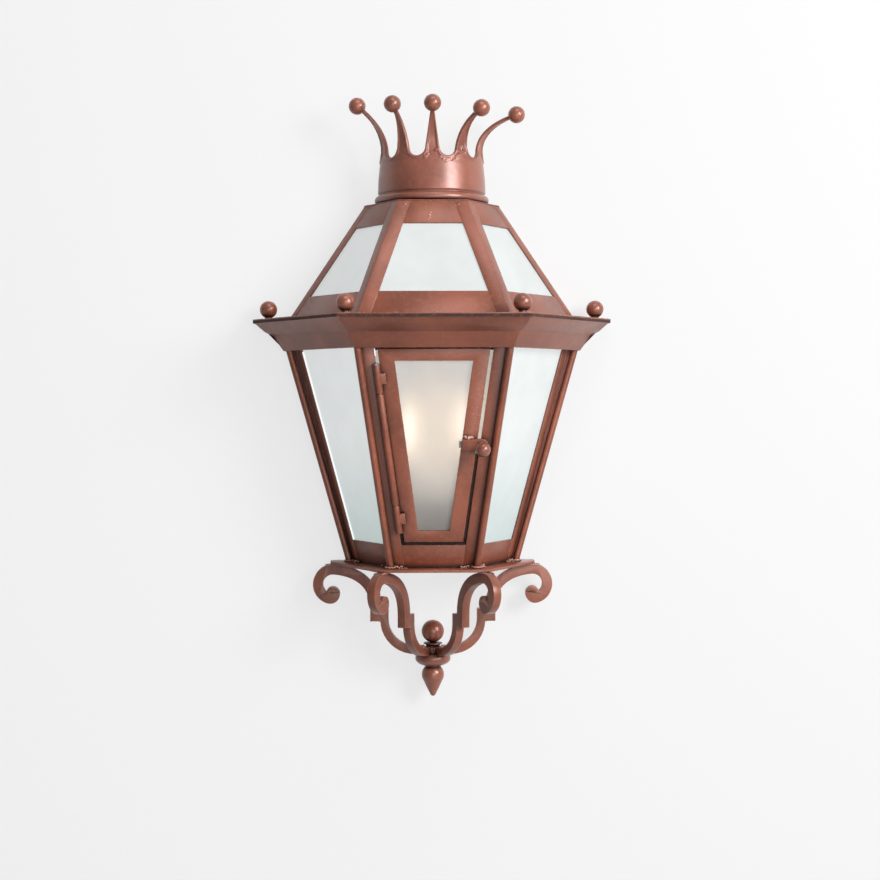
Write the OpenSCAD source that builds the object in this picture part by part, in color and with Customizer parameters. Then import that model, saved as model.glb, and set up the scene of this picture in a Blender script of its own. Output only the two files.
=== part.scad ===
// Half-hexagonal wall lantern with a crown, a glazed door and scroll brackets.
// Millimetres, +Z up, +X to the viewer's right, the wall is the plane Y = 0 and the lantern
// stands in front of it, toward -Y. The origin is the middle of the four wall holes.
// The hexagon has corners at 30 and 90 degrees either side of the front. Every level of it is
// given by its corner radius, measured from an upright axis that stands off the wall.

/* [Wall fixing] */
// Spacing of the wall holes across
wall_holes_x = 100; // [60:5:150]
// Spacing of the wall holes up the wall
wall_holes_z = 140; // [80:5:180]
// Diameter of each wall hole
wall_hole_d = 6.5; // [4:0.5:9]
// Height of the eaves plate's top above the middle of the wall holes
eaves_height = 130; // [100:5:160]
// Distance of the hexagon's axis from the wall
axis_off = 25; // [23:1:40]
// Thickness of the back panel
panel_t = 2; // [1:0.5:4]

/* [Body] */
// Height from the bottom plate's top to the eaves plate's underside
body_h = 286.5; // [240:0.5:330]
// Corner radius of the body under the eaves plate
body_top_r = 171.5; // [165:0.5:176]
// Corner radius of the body on the bottom plate
body_bottom_r = 95; // [90:0.5:105]
// Thickness of the folded sheet
sheet_t = 2; // [1:0.5:3]
// Width of each leg of a folded post
post_leg = 14; // [10:0.5:18]
// Height of the aprons above the bottom plate
apron_h = 27; // [15:1:40]
// Diameter of the corner rods
rod_d = 8; // [5:0.5:10]
// Distance of a rod's centre outside the post's corner, at its foot
rod_foot_off = 4.5; // [4.5:0.5:9]
// Distance of a rod's centre outside the post's corner, at its top
rod_top_off = 8.5; // [6:0.5:9]
// Corner radius of the bottom plate
bottom_plate_r = 122.3; // [115:0.1:130]
// Thickness of the bottom plate
bottom_plate_t = 3; // [2:0.5:5]

/* [Eaves] */
// Corner radius of the eaves plate
eaves_r = 214; // [205:1:230]
// Thickness of the eaves plate
eaves_t = 1.5; // [1:0.5:3]
// Corner radius of the opening in the eaves plate
eaves_hole_r = 150; // [130:1:155]
// Width of the strip behind the opening
eaves_rear_w = 10; // [6:1:14]
// Diameter of the steel balls
ball_d = 20; // [14:1:26]
// Diameter of the neck under a ball
ball_neck_d = 9; // [5:0.5:12]
// Height of the neck under a ball
ball_neck_h = 3.5; // [1:0.5:8]
// Distance of the balls inside the eaves plate's corners
ball_inset = 19; // [14:1:30]

/* [Cornice] */
// Distance of the cornice's upper lip inside the eaves plate's corners
cornice_lip_inset = 2.3; // [0.5:0.1:8]
// Distance inside those corners where the lip turns into the ledge
cornice_cove_inset = 14; // [11:0.5:16]
// Drop of that turn below the eaves plate's underside
cornice_cove_drop = 11.5; // [8:0.5:14]
// Distance inside those corners where the ledge turns into the fascia
cornice_ledge_inset = 24; // [20:0.5:26]
// Drop of that turn below the eaves plate's underside
cornice_ledge_drop = 16.5; // [14:0.5:20]
// Corner radius of the fascia's lower edge
cornice_foot_r = 177.5; // [176:0.1:184]
// Height of the cornice
cornice_h = 34.1; // [28:0.1:36]
// Thickness of the cornice sheet
cornice_t = 1.5; // [1:0.25:2]

/* [Roof] */
// Height of the roof from the eaves plate to the cap plate
roof_h = 135.5; // [100:0.5:170]
// Corner radius of the roof on the eaves plate
roof_bottom_r = 171.8; // [160:0.1:180]
// Corner radius of the roof under the cap plate
roof_top_r = 80.5; // [74:0.5:90]
// Width of each leg of a hip strip
hip_leg = 14.5; // [10:0.5:18]
// Height of the band along the roof's lower edge
bottom_band_h = 28.3; // [15:0.1:40]
// Height of the band along the roof's upper edge
top_band_h = 26.5; // [15:0.5:40]
// Thickness of the cap plate
cap_t = 1.5; // [1:0.5:4]

/* [Glass] */
// Thickness of the panes
glass_t = 3; // [2:0.5:4]
// Overlap of a pane behind the strips that hold it
glass_lap = 7; // [4:0.5:8]
// Gap above the side panes and the roof panes
glass_top_gap = 6; // [2:1:20]

/* [Door] */
// Gap between the door and the jambs
door_gap = 4; // [2:0.5:5]
// Gap between the door and the front apron
door_bottom_gap = 4.5; // [2:0.5:8]
// Gap between the door and the level of the cornice's lower edge
door_top_gap = 0.5; // [0.4:0.1:4]
// Width of the door's stiles
stile_w = 17; // [12:0.5:20]
// Height of the door's top rail
top_rail_h = 14; // [10:0.5:20]
// Height of the door's bottom rail
bottom_rail_h = 13; // [10:0.5:20]
// Thickness of the door's frame
door_t = 4; // [3:0.5:5]
// How far the door stands proud of the jambs
door_proud = 2.5; // [1.5:0.5:3]
// Overlap of the door's pane behind its frame
door_glass_lap = 5; // [3:0.5:8]
// Width of a glass clip
clip_w = 6; // [4:0.5:10]
// Thickness of a glass clip
clip_t = 1; // [0.5:0.1:1.5]
// Reach of a glass clip over the pane
clip_reach = 8; // [4:0.5:12]

/* [Hinge] */
// Outer diameter of the hinge tube and knuckles
hinge_d = 8; // [6:0.2:8.2]
// Diameter of the hinge pin
pin_d = 4; // [2:0.1:4.6]
// Radial clearance of the pin in the tube
pin_play = 0.05; // [0.02:0.01:0.1]
// Length of the hinge along its axis
hinge_len = 198; // [120:1:205]
// Length of each knuckle
knuckle_len = 33; // [20:1:50]
// Gap between a knuckle and the tube
knuckle_gap = 1; // [0.5:0.1:2]
// Distance of the hinge's top below the door's top edge
hinge_drop = 18; // [5:1:30]
// Clearance of the knuckles over the jamb
knuckle_clear = 0.3; // [0.2:0.05:1]
// Length of the weld lugs
lug_len = 12; // [6:1:20]
// Reach of a lug over the door
lug_reach = 5; // [3:0.5:8]
// Height of a lug over the door's face
lug_h = 3.8; // [2:0.1:4.5]
// Distance of the tube's weld pads short of the pin's middle
pad_short = 0.5; // [0:0.1:1]
// Diameter of the pin's head
pin_head_d = 6; // [5:0.2:6]
// Height of the pin's head
pin_head_h = 1.5; // [1:0.5:3]

/* [Handle] */
// Height of the handle bar
handle_h = 13.5; // [10:0.5:18]
// Length of the handle bar
handle_len = 30; // [24:0.5:36]
// Thickness of the handle bar
handle_t = 5; // [3:0.5:6]
// Height of the handle's middle above the door's bottom edge
handle_up = 116; // [60:1:170]
// Diameter of the knob
knob_d = 17; // [12:0.5:24]
// Distance of the knob's middle from the handle bar
knob_out = 19; // [12:0.5:26]
// Diameter of the knob's neck
knob_neck_d = 7; // [5:0.5:9]

/* [Crown] */
// Height of the crown from its foot to the bottoms of the valleys
crown_h = 52.4; // [40:0.1:60]
// Outer radius of the crown's band at its foot
band_bottom_r = 64.5; // [55:0.5:70]
// Outer radius of the crown's band at its top
band_top_r = 62; // [55:0.5:70]
// Wall of the crown
crown_wall = 5; // [4:0.5:6]
// Height of the bead round the crown's foot
bead_h = 9; // [6:0.5:12]
// How far the bead stands out from the band
bead_out = 3.5; // [2:0.5:4]
// Radius of the bottom of each valley between the prongs
valley_r = 9.5; // [7:0.5:11]
// Lean of the prongs' flanks from upright
flank_angle = 9; // [7:1:14]
// Width of the prongs at their tips
prong_tip_w = 5.8; // [5:0.2:8]
// Thickness of the prongs
prong_t = 4; // [3:0.5:4.5]
// Height over which a prong rises before it bends outward
prong_rise = 26; // [15:1:35]
// Distance of a ball's middle from its flat seat on the prong
ball_seat = 9.5; // [8:0.1:9.8]
// Length of the straight end of a prong behind its ball
prong_end = 1; // [0.5:0.5:4]

/* [Brackets] */
// Thickness of the arms, and width of the arms and the scrolls seen edge on
bar_w = 10; // [8:0.5:12]
// Thickness of the scrolls
scroll_t = 12; // [10:0.5:13]
// Distance of the scrolls' centres from the axis
scroll_r_pos = 119.5; // [116:0.5:121]
// Radius of a scroll's centre line
scroll_r = 17.8; // [16:0.1:20]
// Radius of the blob that ends a scroll
blob_r = 8; // [7:0.1:8]
// Distance of a blob's middle below the scroll's centre
blob_drop = 10.8; // [10.6:0.1:11.4]
// Radius of the tail that runs from the scroll round to the blob
tail_r = 11.5; // [11.4:0.1:11.8]
// Distance of the lap between the two bars from the axis
lap_r_pos = 63; // [55:1:70]
// Drop of the lap's middle below the bottom plate
lap_drop = 61; // [55:0.5:70]
// Length of the lap
lap_len = 15; // [8:1:20]
// Radius of the lower arm's centre line
arm_bend_r = 36.5; // [30:0.5:40]
// Height of the arm's bend above the lap's lower end
arm_bend_up = 2; // [0:0.5:4]
// Pull of the swan neck at the lap, upright
neck_pull_low = 33; // [25:1:40]
// Pull of the swan neck at the curl, along the curl
neck_pull_high = 25; // [15:1:30]

/* [Finial] */
// Diameter of the ball on the hub
finial_ball_d = 27; // [20:1:34]
// Height of the flat under the ball
finial_ball_flat = 0.4; // [0.2:0.1:1]
// Diameter of the washer under the ball
washer_d = 23; // [18:0.5:30]
// Thickness of the washer
washer_t = 2.5; // [1.5:0.5:4]
// Diameter of the hub that the arms meet
hub_d = 20; // [18:0.5:26]
// Height of the hub above the arms
hub_margin = 1.5; // [0.5:0.5:4]
// Gap between the arms and the disc
disc_gap = 0.4; // [0.3:0.1:2]
// Diameter of the disc under the hub
disc_d = 42.2; // [36:0.2:44]
// Thickness of the disc
disc_t = 14; // [10:0.5:16]
// Bevel round the disc's top
disc_bevel = 2.2; // [1:0.1:3]
// Diameter of the neck between the disc and the drop
drop_neck_d = 18; // [12:1:20]
// Largest diameter of the drop
drop_d = 26.6; // [26.2:0.2:32]
// Height from the disc to the drop's widest point
drop_shoulder = 10.7; // [8:0.1:14]
// Height of the drop's round part below its widest point
drop_round = 5.5; // [3:0.5:8]
// Diameter of the drop where its round part turns into its cone
drop_crease_d = 24; // [18:0.5:26]
// Height of the drop's cone
drop_tip = 20.4; // [14:0.1:30]
// Width of the drop's blunt tip
drop_tip_w = 4; // [1:0.5:6]

/* [Lamp] */
// Distance of each lamp from the middle
lamp_x = 34.5; // [30:0.5:35]
// Distance of the lamps in front of the axis
lamp_out = 60; // [50:1:64]
// Outer diameter of the candle sleeves
sleeve_d = 27; // [25:0.5:30]
// Wall of the candle sleeves
sleeve_wall = 1.5; // [1:0.25:1.75]
// Height of the candle sleeves
sleeve_h = 106; // [80:1:120]
// Diameter of the lamp holders
holder_d = 23; // [20:0.5:23.5]
// Diameter of the lamp cap
lamp_cap_d = 13.8; // [12:0.1:14]
// Radial clearance of the lamp cap in its holder
lamp_cap_play = 0.3; // [0.1:0.1:1]
// Depth of the lamp cap in its holder
lamp_cap_h = 20; // [15:1:24]
// Distance of a holder's top below its sleeve's top
holder_sunk = 2; // [0:0.5:6]
// Diameter of the bulb
bulb_d = 35; // [30:1:40]
// Height of the bulb's glass
bulb_h = 80; // [60:1:90]
// Collar between the lamp cap and the bulb's glass
bulb_collar = 1; // [0.5:0.5:3]
// Height of the lamp bracket's top above the bottom plate
lamp_bracket_h = 26; // [15:1:40]
// Length of the lamp bracket
lamp_bracket_l = 98; // [97:1:100]
// Width of the lamp bracket
lamp_bracket_w = 30; // [28:1:34]
// Distance of the lamp bracket's legs from the middle
lamp_leg_x = 38; // [30:1:40]
// Width of the terminal block
terminal_w = 28; // [20:1:30]
// Depth of the terminal block
terminal_d = 24; // [15:1:30]
// Height of the terminal block
terminal_h = 62; // [40:1:80]

/* [Cable entry] */
// Distance of the cable hole below the middle of the wall holes
cable_drop = 45; // [20:1:60]
// Diameter of the cable hole
cable_hole_d = 16; // [12:1:20]
// Bore of the grommet
grommet_bore_d = 8; // [4:1:10]
// Diameter of the grommet's flange
grommet_flange_d = 22; // [21:1:28]
// Height of the grommet's flange
grommet_flange_t = 2.5; // [1:0.5:4]

/* [Hidden] */
$fn = 96;

// Colours as the photograph shows them
rust = [0.55, 0.31, 0.24];
frosted = [0.87, 0.93, 0.91, 0.6];
white_enamel = [0.93, 0.93, 0.90];
steel = [0.70, 0.70, 0.72];
grey_plastic = [0.62, 0.64, 0.66];
black_rubber = [0.12, 0.12, 0.12];

// Longer than the lantern, for cutting tools
far = 800;
// How far a cutter or a blank runs past the face that it meets
past = 5;

// Levels
eaves_under = eaves_height - eaves_t;
floor_z = eaves_under - body_h;
plate_under = floor_z - bottom_plate_t;
cap_under = eaves_height + roof_h;
crown_foot = cap_under + cap_t;

// Azimuths of the corners and of the side faces, to the right of the front
rear_az = 90;
front_az = 30;
side_az = 60;

// The plan of a half hexagon: apothem of its faces and half width of a face, per unit of radius
apothem_of = cos(30);
half_face = tan(30);

// A shell is [radius at its foot, foot level, radius at its top, top level]
body = [body_bottom_r, floor_z, body_top_r, eaves_under];
roof = [roof_bottom_r, eaves_height, roof_top_r, cap_under];
rod_line = [body_bottom_r + rod_foot_off, floor_z, body_top_r + rod_top_off, eaves_under];

// Lean of a shell's faces from upright, or of its corner lines with a plan factor of 1
function lean(shell, plan = apothem_of) =
    atan((shell[2] - shell[0]) * plan / (shell[3] - shell[1]));
// Distance up a face for a rise above the shell's foot
function up_face(shell, rise) = rise / cos(lean(shell));
// Half width of a face at a distance up it
function corner_x(shell, v) = (shell[0] * apothem_of + v * sin(lean(shell))) * half_face;
// Angle of a corner line from the middle of its face, and the level width of a leg beside it
function corner_slant(shell) = atan(sin(lean(shell)) * half_face);
function level_w(shell, w) = w / cos(corner_slant(shell));
// Half width between the legs of two strips
function clear_x(shell, v, leg) = corner_x(shell, v) - level_w(shell, leg);

// Paths: mitred offsets, strips of constant width and a cubic curve
function reversed(a) = [for (i = [len(a) - 1:-1:0]) a[i]];
function heading(a, b) = (b - a) / norm(b - a);
function left_of(v) = [-v[1], v[0]];
function heading_in(path, i) = i > 0 ? heading(path[i - 1], path[i]) : heading(path[0], path[1]);
function heading_out(path, i) = i < len(path) - 1 ? heading(path[i], path[i + 1]) : heading_in(path, i);
function mitre(path, i) =
    (left_of(heading_in(path, i)) + left_of(heading_out(path, i)))
    / (1 + heading_in(path, i) * heading_out(path, i));
function shifted(path, d) = [for (i = [0:len(path) - 1]) path[i] + d * mitre(path, i)];
function strip(path, to_left, to_right) = concat(shifted(path, to_left), reversed(shifted(path, -to_right)));
function cubic(p, t) =
    pow(1 - t, 3) * p[0] + 3 * pow(1 - t, 2) * t * p[1] + 3 * (1 - t) * t * t * p[2] + pow(t, 3) * p[3];
function parabola(p, t) = pow(1 - t, 2) * p[0] + 2 * (1 - t) * t * p[1] + t * t * p[2];

// The half hexagon's outline, with straight returns to the level rear_y
function half_hexagon(r, rear_y) = concat(
    [for (az = [-rear_az, -front_az, front_az, rear_az]) [r * sin(az), -axis_off - r * cos(az)]],
    [[r, rear_y], [-r, rear_y]]);

// Frames: a face has X across it, Y up it and Z out of it; a corner has X outward and Z up
module on_face(az, shell) {
    translate([0, -axis_off, 0])
        rotate([0, 0, az])
            translate([0, -shell[0] * apothem_of, shell[1]])
                rotate([90 + lean(shell), 0, 0])
                    children();
}

module at_corner(az) {
    translate([0, -axis_off, 0])
        rotate([0, 0, az - 90])
            children();
}

module between_levels(low, high) {
    intersection() {
        union() children();
        translate([-far / 2, -far / 2, low])
            cube([far, far, high - low]);
    }
}

module slab(points, from_w, to_w) {
    translate([0, 0, from_w])
        linear_extrude(to_w - from_w)
            polygon(points);
}

// A folded strip along a corner line, drawn across that line: X is outward, Y toward the wall
function leg_end(shell, leg, side) =
    leg * heading([0, 0], [-sin(front_az) * cos(lean(shell, 1)), side * cos(front_az)]);

module fold(az, shell, leg, line) {
    slant = lean(shell, 1);
    between_levels(shell[1], shell[3])
        at_corner(az)
            translate([shell[0], 0, shell[1]])
                rotate([0, slant, 0])
                    translate([0, 0, -leg])
                        linear_extrude((shell[3] - shell[1]) / cos(slant) + 2 * leg)
                            polygon(strip(line, sheet_t, 0));
}

module front_fold(shell, leg) {
    fold(front_az, shell, leg, [leg_end(shell, leg, -1), [0, 0], leg_end(shell, leg, 1)]);
}

module rear_fold(shell, leg) {
    fold(rear_az, shell, leg, [leg_end(shell, leg, -1), [0, 0], [0, axis_off - panel_t]]);
}

module left_of_middle() {
    mirror([1, 0, 0]) children();
}

// A level strip between the legs of one face
module face_band(az, shell, leg, low, high) {
    v0 = up_face(shell, low) - (low == 0 ? past : 0);
    v1 = up_face(shell, high) + (high == shell[3] - shell[1] ? past : 0);
    between_levels(shell[1], shell[3])
        on_face(az, shell)
            slab([for (p = [[-1, v0], [1, v0], [1, v1], [-1, v1]])
                [p[0] * clear_x(shell, p[1], leg), p[1]]], -sheet_t, 0);
}

// A pane behind the strips of one face
module face_pane(az, shell, leg) {
    top = up_face(shell, shell[3] - shell[1] - glass_top_gap);
    between_levels(shell[1], shell[3])
        on_face(az, shell)
            slab([for (p = [[-1, -past], [1, -past], [1, top], [-1, top]])
                [p[0] * (clear_x(shell, p[1], leg) + glass_lap), p[1]]], -sheet_t - glass_t, -sheet_t);
}

// Wall panel
module back_panel() {
    half = [[rod_line[0], plate_under], [rod_line[0], floor_z], [rod_line[2], eaves_under],
        [rod_line[2], eaves_height], [roof_bottom_r, eaves_height],
        [roof_top_r, cap_under], [roof_top_r, crown_foot]];
    color(white_enamel)
        rotate([90, 0, 0])
            linear_extrude(panel_t)
                difference() {
                    polygon(concat(half, reversed([for (p = half) [-p[0], p[1]]])));
                    for (x = [-1, 1], z = [-1, 1])
                        translate([x * wall_holes_x / 2, z * wall_holes_z / 2])
                            circle(d = wall_hole_d);
                    translate([0, -cable_drop])
                        circle(d = cable_hole_d);
                }
}

module bottom_plate() {
    color(rust)
        translate([0, 0, plate_under])
            linear_extrude(bottom_plate_t)
                polygon(half_hexagon(bottom_plate_r, -panel_t));
}

// Corner rods, leaning with the posts
module corner_rod(az) {
    color(rust)
        between_levels(floor_z, eaves_under)
            at_corner(az)
                translate([rod_line[0], 0, rod_line[1]])
                    rotate([0, lean(rod_line, 1), 0])
                        translate([0, 0, -past])
                            cylinder(d = rod_d, h = body_h / cos(lean(rod_line, 1)) + 2 * past);
}

module post_front() {
    color(rust) front_fold(body, post_leg);
}

module post_rear() {
    color(rust) rear_fold(body, post_leg);
}

module apron(az) {
    color(rust) face_band(az, body, post_leg, 0, apron_h);
}

// Cornice: its outer line as [corner radius, drop], run past both ends and cut level
cornice_lip = [eaves_r - cornice_lip_inset, 0];
cornice_ledge = [eaves_r - cornice_ledge_inset, cornice_ledge_drop];
cornice_foot = [cornice_foot_r, cornice_h];
cornice_line = [
    cornice_lip + past * [1, -1],
    cornice_lip,
    [eaves_r - cornice_cove_inset, cornice_cove_drop],
    cornice_ledge,
    cornice_foot,
    cornice_foot + past * heading(cornice_ledge, cornice_foot)];

module cornice_section(plan) {
    polygon(strip([for (p = cornice_line) [p[0] * plan, eaves_under - p[1]]], 0, cornice_t));
}

module cornice_run(az, plan) {
    at_corner(az)
        rotate([90, 0, 0])
            linear_extrude(far, center = true)
                cornice_section(plan);
}

module cornice_face(az) {
    between_levels(eaves_under - cornice_h, eaves_under)
        intersection() {
            cornice_run(az, apothem_of);
            translate([0, -axis_off, eaves_under - cornice_h])
                rotate([0, 0, az])
                    linear_extrude(cornice_h)
                        polygon([[0, 0], [far * sin(-front_az), -far * cos(front_az)],
                            [far * sin(front_az), -far * cos(front_az)]]);
        }
}

module cornice_rear() {
    between_levels(eaves_under - cornice_h, eaves_under)
        intersection() {
            cornice_run(rear_az, 1);
            translate([0, -axis_off, eaves_under - cornice_h])
                cube([far, axis_off - panel_t, cornice_h]);
        }
}

module cornice_side() {
    color(rust) {
        cornice_face(side_az);
        cornice_rear();
    }
}

module cornice_front() {
    color(rust) cornice_face(0);
}

module eaves_plate() {
    color(rust)
        translate([0, 0, eaves_under])
            linear_extrude(eaves_t)
                difference() {
                    polygon(half_hexagon(eaves_r, -panel_t));
                    polygon(half_hexagon(eaves_hole_r, -panel_t - eaves_rear_w));
                }
}

module eaves_ball(az) {
    color(rust)
        at_corner(az)
            translate([eaves_r - ball_inset, 0, eaves_height]) {
                cylinder(d = ball_neck_d, h = ball_neck_h + ball_d / 2);
                translate([0, 0, ball_neck_h + ball_d / 2])
                    sphere(d = ball_d);
            }
}

// Roof
module hip_front() {
    color(rust) front_fold(roof, hip_leg);
}

module hip_rear() {
    color(rust) rear_fold(roof, hip_leg);
}

module roof_bottom_band() {
    color(rust)
        for (az = [-side_az, 0, side_az])
            face_band(az, roof, hip_leg, 0, bottom_band_h);
}

module roof_top_band() {
    color(rust)
        for (az = [-side_az, 0, side_az])
            face_band(az, roof, hip_leg, roof_h - top_band_h, roof_h);
}

module roof_cap() {
    color(rust)
        translate([0, 0, cap_under])
            linear_extrude(cap_t)
                polygon(half_hexagon(roof_top_r, -panel_t));
}

// Crown: five prongs, each leaning out to its own ball. The prongs are bent by hand, so each
// ball has its own [distance from the axis, height above the crown's foot], from left to right.
prong_pitch = 34.5;
prong_balls = [[93.7, 112.6], [81.4, 110], [86, 108.4], [99, 103.2], [106, 102.1]];
prong_count = len(prong_balls);
prong_root_r = band_top_r - crown_wall / 2;
// The valley's round bottom turns into the flank at this height and half width
flank_z = crown_h + valley_r * (1 - sin(flank_angle));
flank_half = prong_root_r * tan(prong_pitch / 2) - valley_r * cos(flank_angle);
// The flanks end at this height, where the prong has its tip's width
taper_z = flank_z + (flank_half - prong_tip_w / 2) / tan(flank_angle);
prong_steps = 8;
prong_bend = [prong_root_r, flank_z + prong_rise];

function prong_az(i) = (i - (prong_count - 1) / 2) * prong_pitch;
function prong_heading(i) = heading(prong_bend, prong_balls[i]);
function prong_point(i, short_of) = prong_balls[i] - short_of * prong_heading(i);
// The last stretch is straight, so that the tip ends square to the ball's seat
function prong_path(i) = concat([[prong_root_r, flank_z - past]],
    [for (k = [0:prong_steps])
        parabola([[prong_root_r, flank_z], prong_bend, prong_point(i, ball_seat + prong_end)], k / prong_steps)],
    [prong_point(i, ball_seat)]);

module prong(i) {
    top = prong_balls[i][1] + ball_d / 2;
    side = [[flank_half, flank_z - past], [flank_half, flank_z],
        [prong_tip_w / 2, taper_z], [prong_tip_w / 2, top]];
    rotate([0, 0, prong_az(i) - 90])
        intersection() {
            rotate([0, 0, -prong_pitch / 2])
                rotate_extrude(angle = prong_pitch)
                    polygon(strip(prong_path(i), prong_t / 2, prong_t / 2));
            rotate([90, 0, 90])
                linear_extrude(2 * band_bottom_r)
                    polygon(concat(side, reversed([for (p = side) [-p[0], p[1]]])));
        }
}

module crown_band() {
    difference() {
        rotate([0, 0, 180])
            rotate_extrude(angle = 180) {
                polygon([[band_bottom_r - crown_wall, 0], [band_bottom_r, 0],
                    [band_bottom_r, bead_h], [band_top_r, flank_z],
                    [band_top_r - crown_wall, flank_z]]);
                translate([band_bottom_r + bead_out - bead_h / 2, bead_h / 2])
                    circle(d = bead_h);
            }
        for (k = [0:prong_count])
            rotate([0, 0, prong_az(k) - prong_pitch / 2])
                rotate([90, 0, 0])
                    translate([0, crown_h + valley_r, band_top_r - crown_wall - past])
                        cylinder(r = valley_r, h = crown_wall + 2 * past);
    }
}

module crown() {
    color(rust)
        translate([0, -axis_off, crown_foot]) {
            crown_band();
            for (i = [0:prong_count - 1])
                prong(i);
        }
}

module crown_balls() {
    color(rust)
        for (i = [0:prong_count - 1])
            at_corner(prong_az(i))
                translate([prong_balls[i][0], 0, crown_foot + prong_balls[i][1]])
                    rotate([0, atan2(prong_heading(i)[0], prong_heading(i)[1]), 0])
                        intersection() {
                            sphere(d = ball_d);
                            translate([-ball_d / 2, -ball_d / 2, -ball_seat])
                                cube([ball_d, ball_d, ball_seat + ball_d / 2]);
                        }
}

module roof_glass(az) {
    color(frosted) face_pane(az, roof, hip_leg);
}

module side_glass(az) {
    color(frosted) face_pane(az, body, post_leg);
}

// Scroll brackets: a curled bar from the bottom plate, lapped on an arm that runs to the hub
curl_start = 95;
curl_end = -75;
curl_steps = 24;
tail_end = -199;
tail_steps = 12;
// The curl's outer corners touch the plate's underside
curl_top = scroll_r + scroll_t / 2 / cos((curl_start - curl_end) / curl_steps / 2);
scroll_centre = [scroll_r_pos, plate_under - curl_top];
lap_mid = plate_under - lap_drop;
neck_steps = 12;
bend_steps = 10;
arm_level = lap_mid - lap_len / 2 + arm_bend_up - arm_bend_r;
arm_x = lap_r_pos - bar_w / 2;
neck_x = lap_r_pos + scroll_t / 2;

function on_curl(a) = scroll_centre + scroll_r * [cos(a), sin(a)];
function on_bend(a) = [arm_x - arm_bend_r, arm_level + arm_bend_r] + arm_bend_r * [cos(a), sin(a)];
// The swan neck leaves the lap upright and runs into the curl along its tangent
neck_curve = [
    [neck_x, lap_mid + lap_len / 2],
    [neck_x, lap_mid + lap_len / 2 + neck_pull_low],
    on_curl(curl_start) - neck_pull_high * [sin(curl_start), -cos(curl_start)],
    on_curl(curl_start)];
scroll_line = concat([[neck_x, lap_mid - lap_len / 2]],
    [for (k = [0:neck_steps - 1]) cubic(neck_curve, k / neck_steps)],
    [for (k = [0:curl_steps]) on_curl(curl_start + (curl_end - curl_start) * k / curl_steps)]);
// The tail follows the scroll's outer edge and ends in the blob
tail_middle = scroll_centre + (scroll_r + scroll_t / 2 - tail_r) * [cos(curl_end), sin(curl_end)];
blob_middle = scroll_centre - [0, blob_drop];
tail = concat([for (k = [1:tail_steps])
    let (a = curl_end + (tail_end - curl_end) * k / tail_steps) tail_middle + tail_r * [cos(a), sin(a)]],
    [blob_middle]);
scroll_outline = concat(shifted(scroll_line, scroll_t / 2), tail, reversed(shifted(scroll_line, -scroll_t / 2)));
arm_line = concat([[arm_x, lap_mid + lap_len / 2]],
    [for (k = [0:bend_steps]) on_bend(-90 * k / bend_steps)],
    [[hub_d / 2, arm_level]]);

module bracket(az) {
    color(rust)
        at_corner(az)
            rotate([90, 0, 0])
                linear_extrude(bar_w, center = true) {
                    polygon(scroll_outline);
                    translate(blob_middle)
                        circle(blob_r);
                    polygon(strip(arm_line, bar_w / 2, bar_w / 2));
                }
}

// Finial
hub_top = arm_level + bar_w / 2 + hub_margin;
hub_bottom = arm_level - bar_w / 2 - disc_gap;

module finial_ball() {
    color(rust)
        translate([0, -axis_off, hub_top + washer_t])
            intersection() {
                translate([0, 0, finial_ball_d / 2 - finial_ball_flat])
                    sphere(d = finial_ball_d);
                translate([-finial_ball_d / 2, -finial_ball_d / 2, 0])
                    cube(finial_ball_d);
            }
}

module finial_hub() {
    color(rust)
        translate([0, -axis_off, hub_bottom]) {
            cylinder(d = hub_d, h = hub_top - hub_bottom);
            translate([0, 0, hub_top - hub_bottom])
                cylinder(d = washer_d, h = washer_t);
        }
}

// A quarter of an oval from a profile point to another, upright where it starts
quarter_steps = 5;
function quarter(from, to, first, last) = [for (k = [first:last])
    let (a = 90 * k / quarter_steps)
        [to[0] + (from[0] - to[0]) * cos(a), from[1] + (to[1] - from[1]) * sin(a)]];

module finial_drop() {
    rim = [disc_d / 2, -disc_t / 3];
    neck = [drop_neck_d / 2, -disc_t];
    widest = [drop_d / 2, -disc_t - drop_shoulder];
    crease = [drop_crease_d / 2, widest[1] - drop_round];
    tip = [drop_tip_w / 2, crease[1] - drop_tip];
    color(rust)
        translate([0, -axis_off, hub_bottom])
            rotate_extrude()
                polygon(concat([[0, 0]],
                    reversed(quarter(rim, [rim[0] - disc_bevel, 0], 0, quarter_steps)),
                    quarter(rim, neck, 1, quarter_steps),
                    reversed(quarter(widest, neck, 0, quarter_steps - 1)),
                    [widest - [0, drop_round / 2], crease, tip, [0, tip[1]]]));
}

// Door, drawn in the front face
door_low = up_face(body, apron_h + door_bottom_gap);
door_high = up_face(body, body_h - cornice_h - door_top_gap);
door_back = door_proud - door_t;

function door_x(v) = clear_x(body, v, post_leg + door_gap);
function frame_outline(low, high, inset) = [for (p = [[-1, low], [1, low], [1, high], [-1, high]])
    [p[0] * (door_x(p[1]) - level_w(body, inset)), p[1]]];

module door_frame() {
    color(rust)
        on_face(0, body)
            translate([0, 0, door_back])
                linear_extrude(door_t)
                    difference() {
                        polygon(frame_outline(door_low, door_high, 0));
                        polygon(frame_outline(door_low + bottom_rail_h, door_high - top_rail_h, stile_w));
                    }
}

module door_glass() {
    color(frosted)
        on_face(0, body)
            slab(frame_outline(door_low + bottom_rail_h - door_glass_lap,
                door_high - top_rail_h + door_glass_lap, stile_w - door_glass_lap),
                door_back - glass_t, door_back);
}

// A bent clip: its foot lies on the frame's back, its tongue on the pane's back. It is drawn
// for an edge of the pane along X, with the pane on the side of +Y.
module glass_clip() {
    foot = door_glass_lap;
    rotate([90, 0, 90])
        linear_extrude(clip_w, center = true)
            polygon([[-foot, 0], [0, 0], [0, -glass_t], [clip_reach, -glass_t],
                [clip_reach, -glass_t - clip_t], [-clip_t, -glass_t - clip_t],
                [-clip_t, -clip_t], [-foot, -clip_t]]);
}

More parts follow.
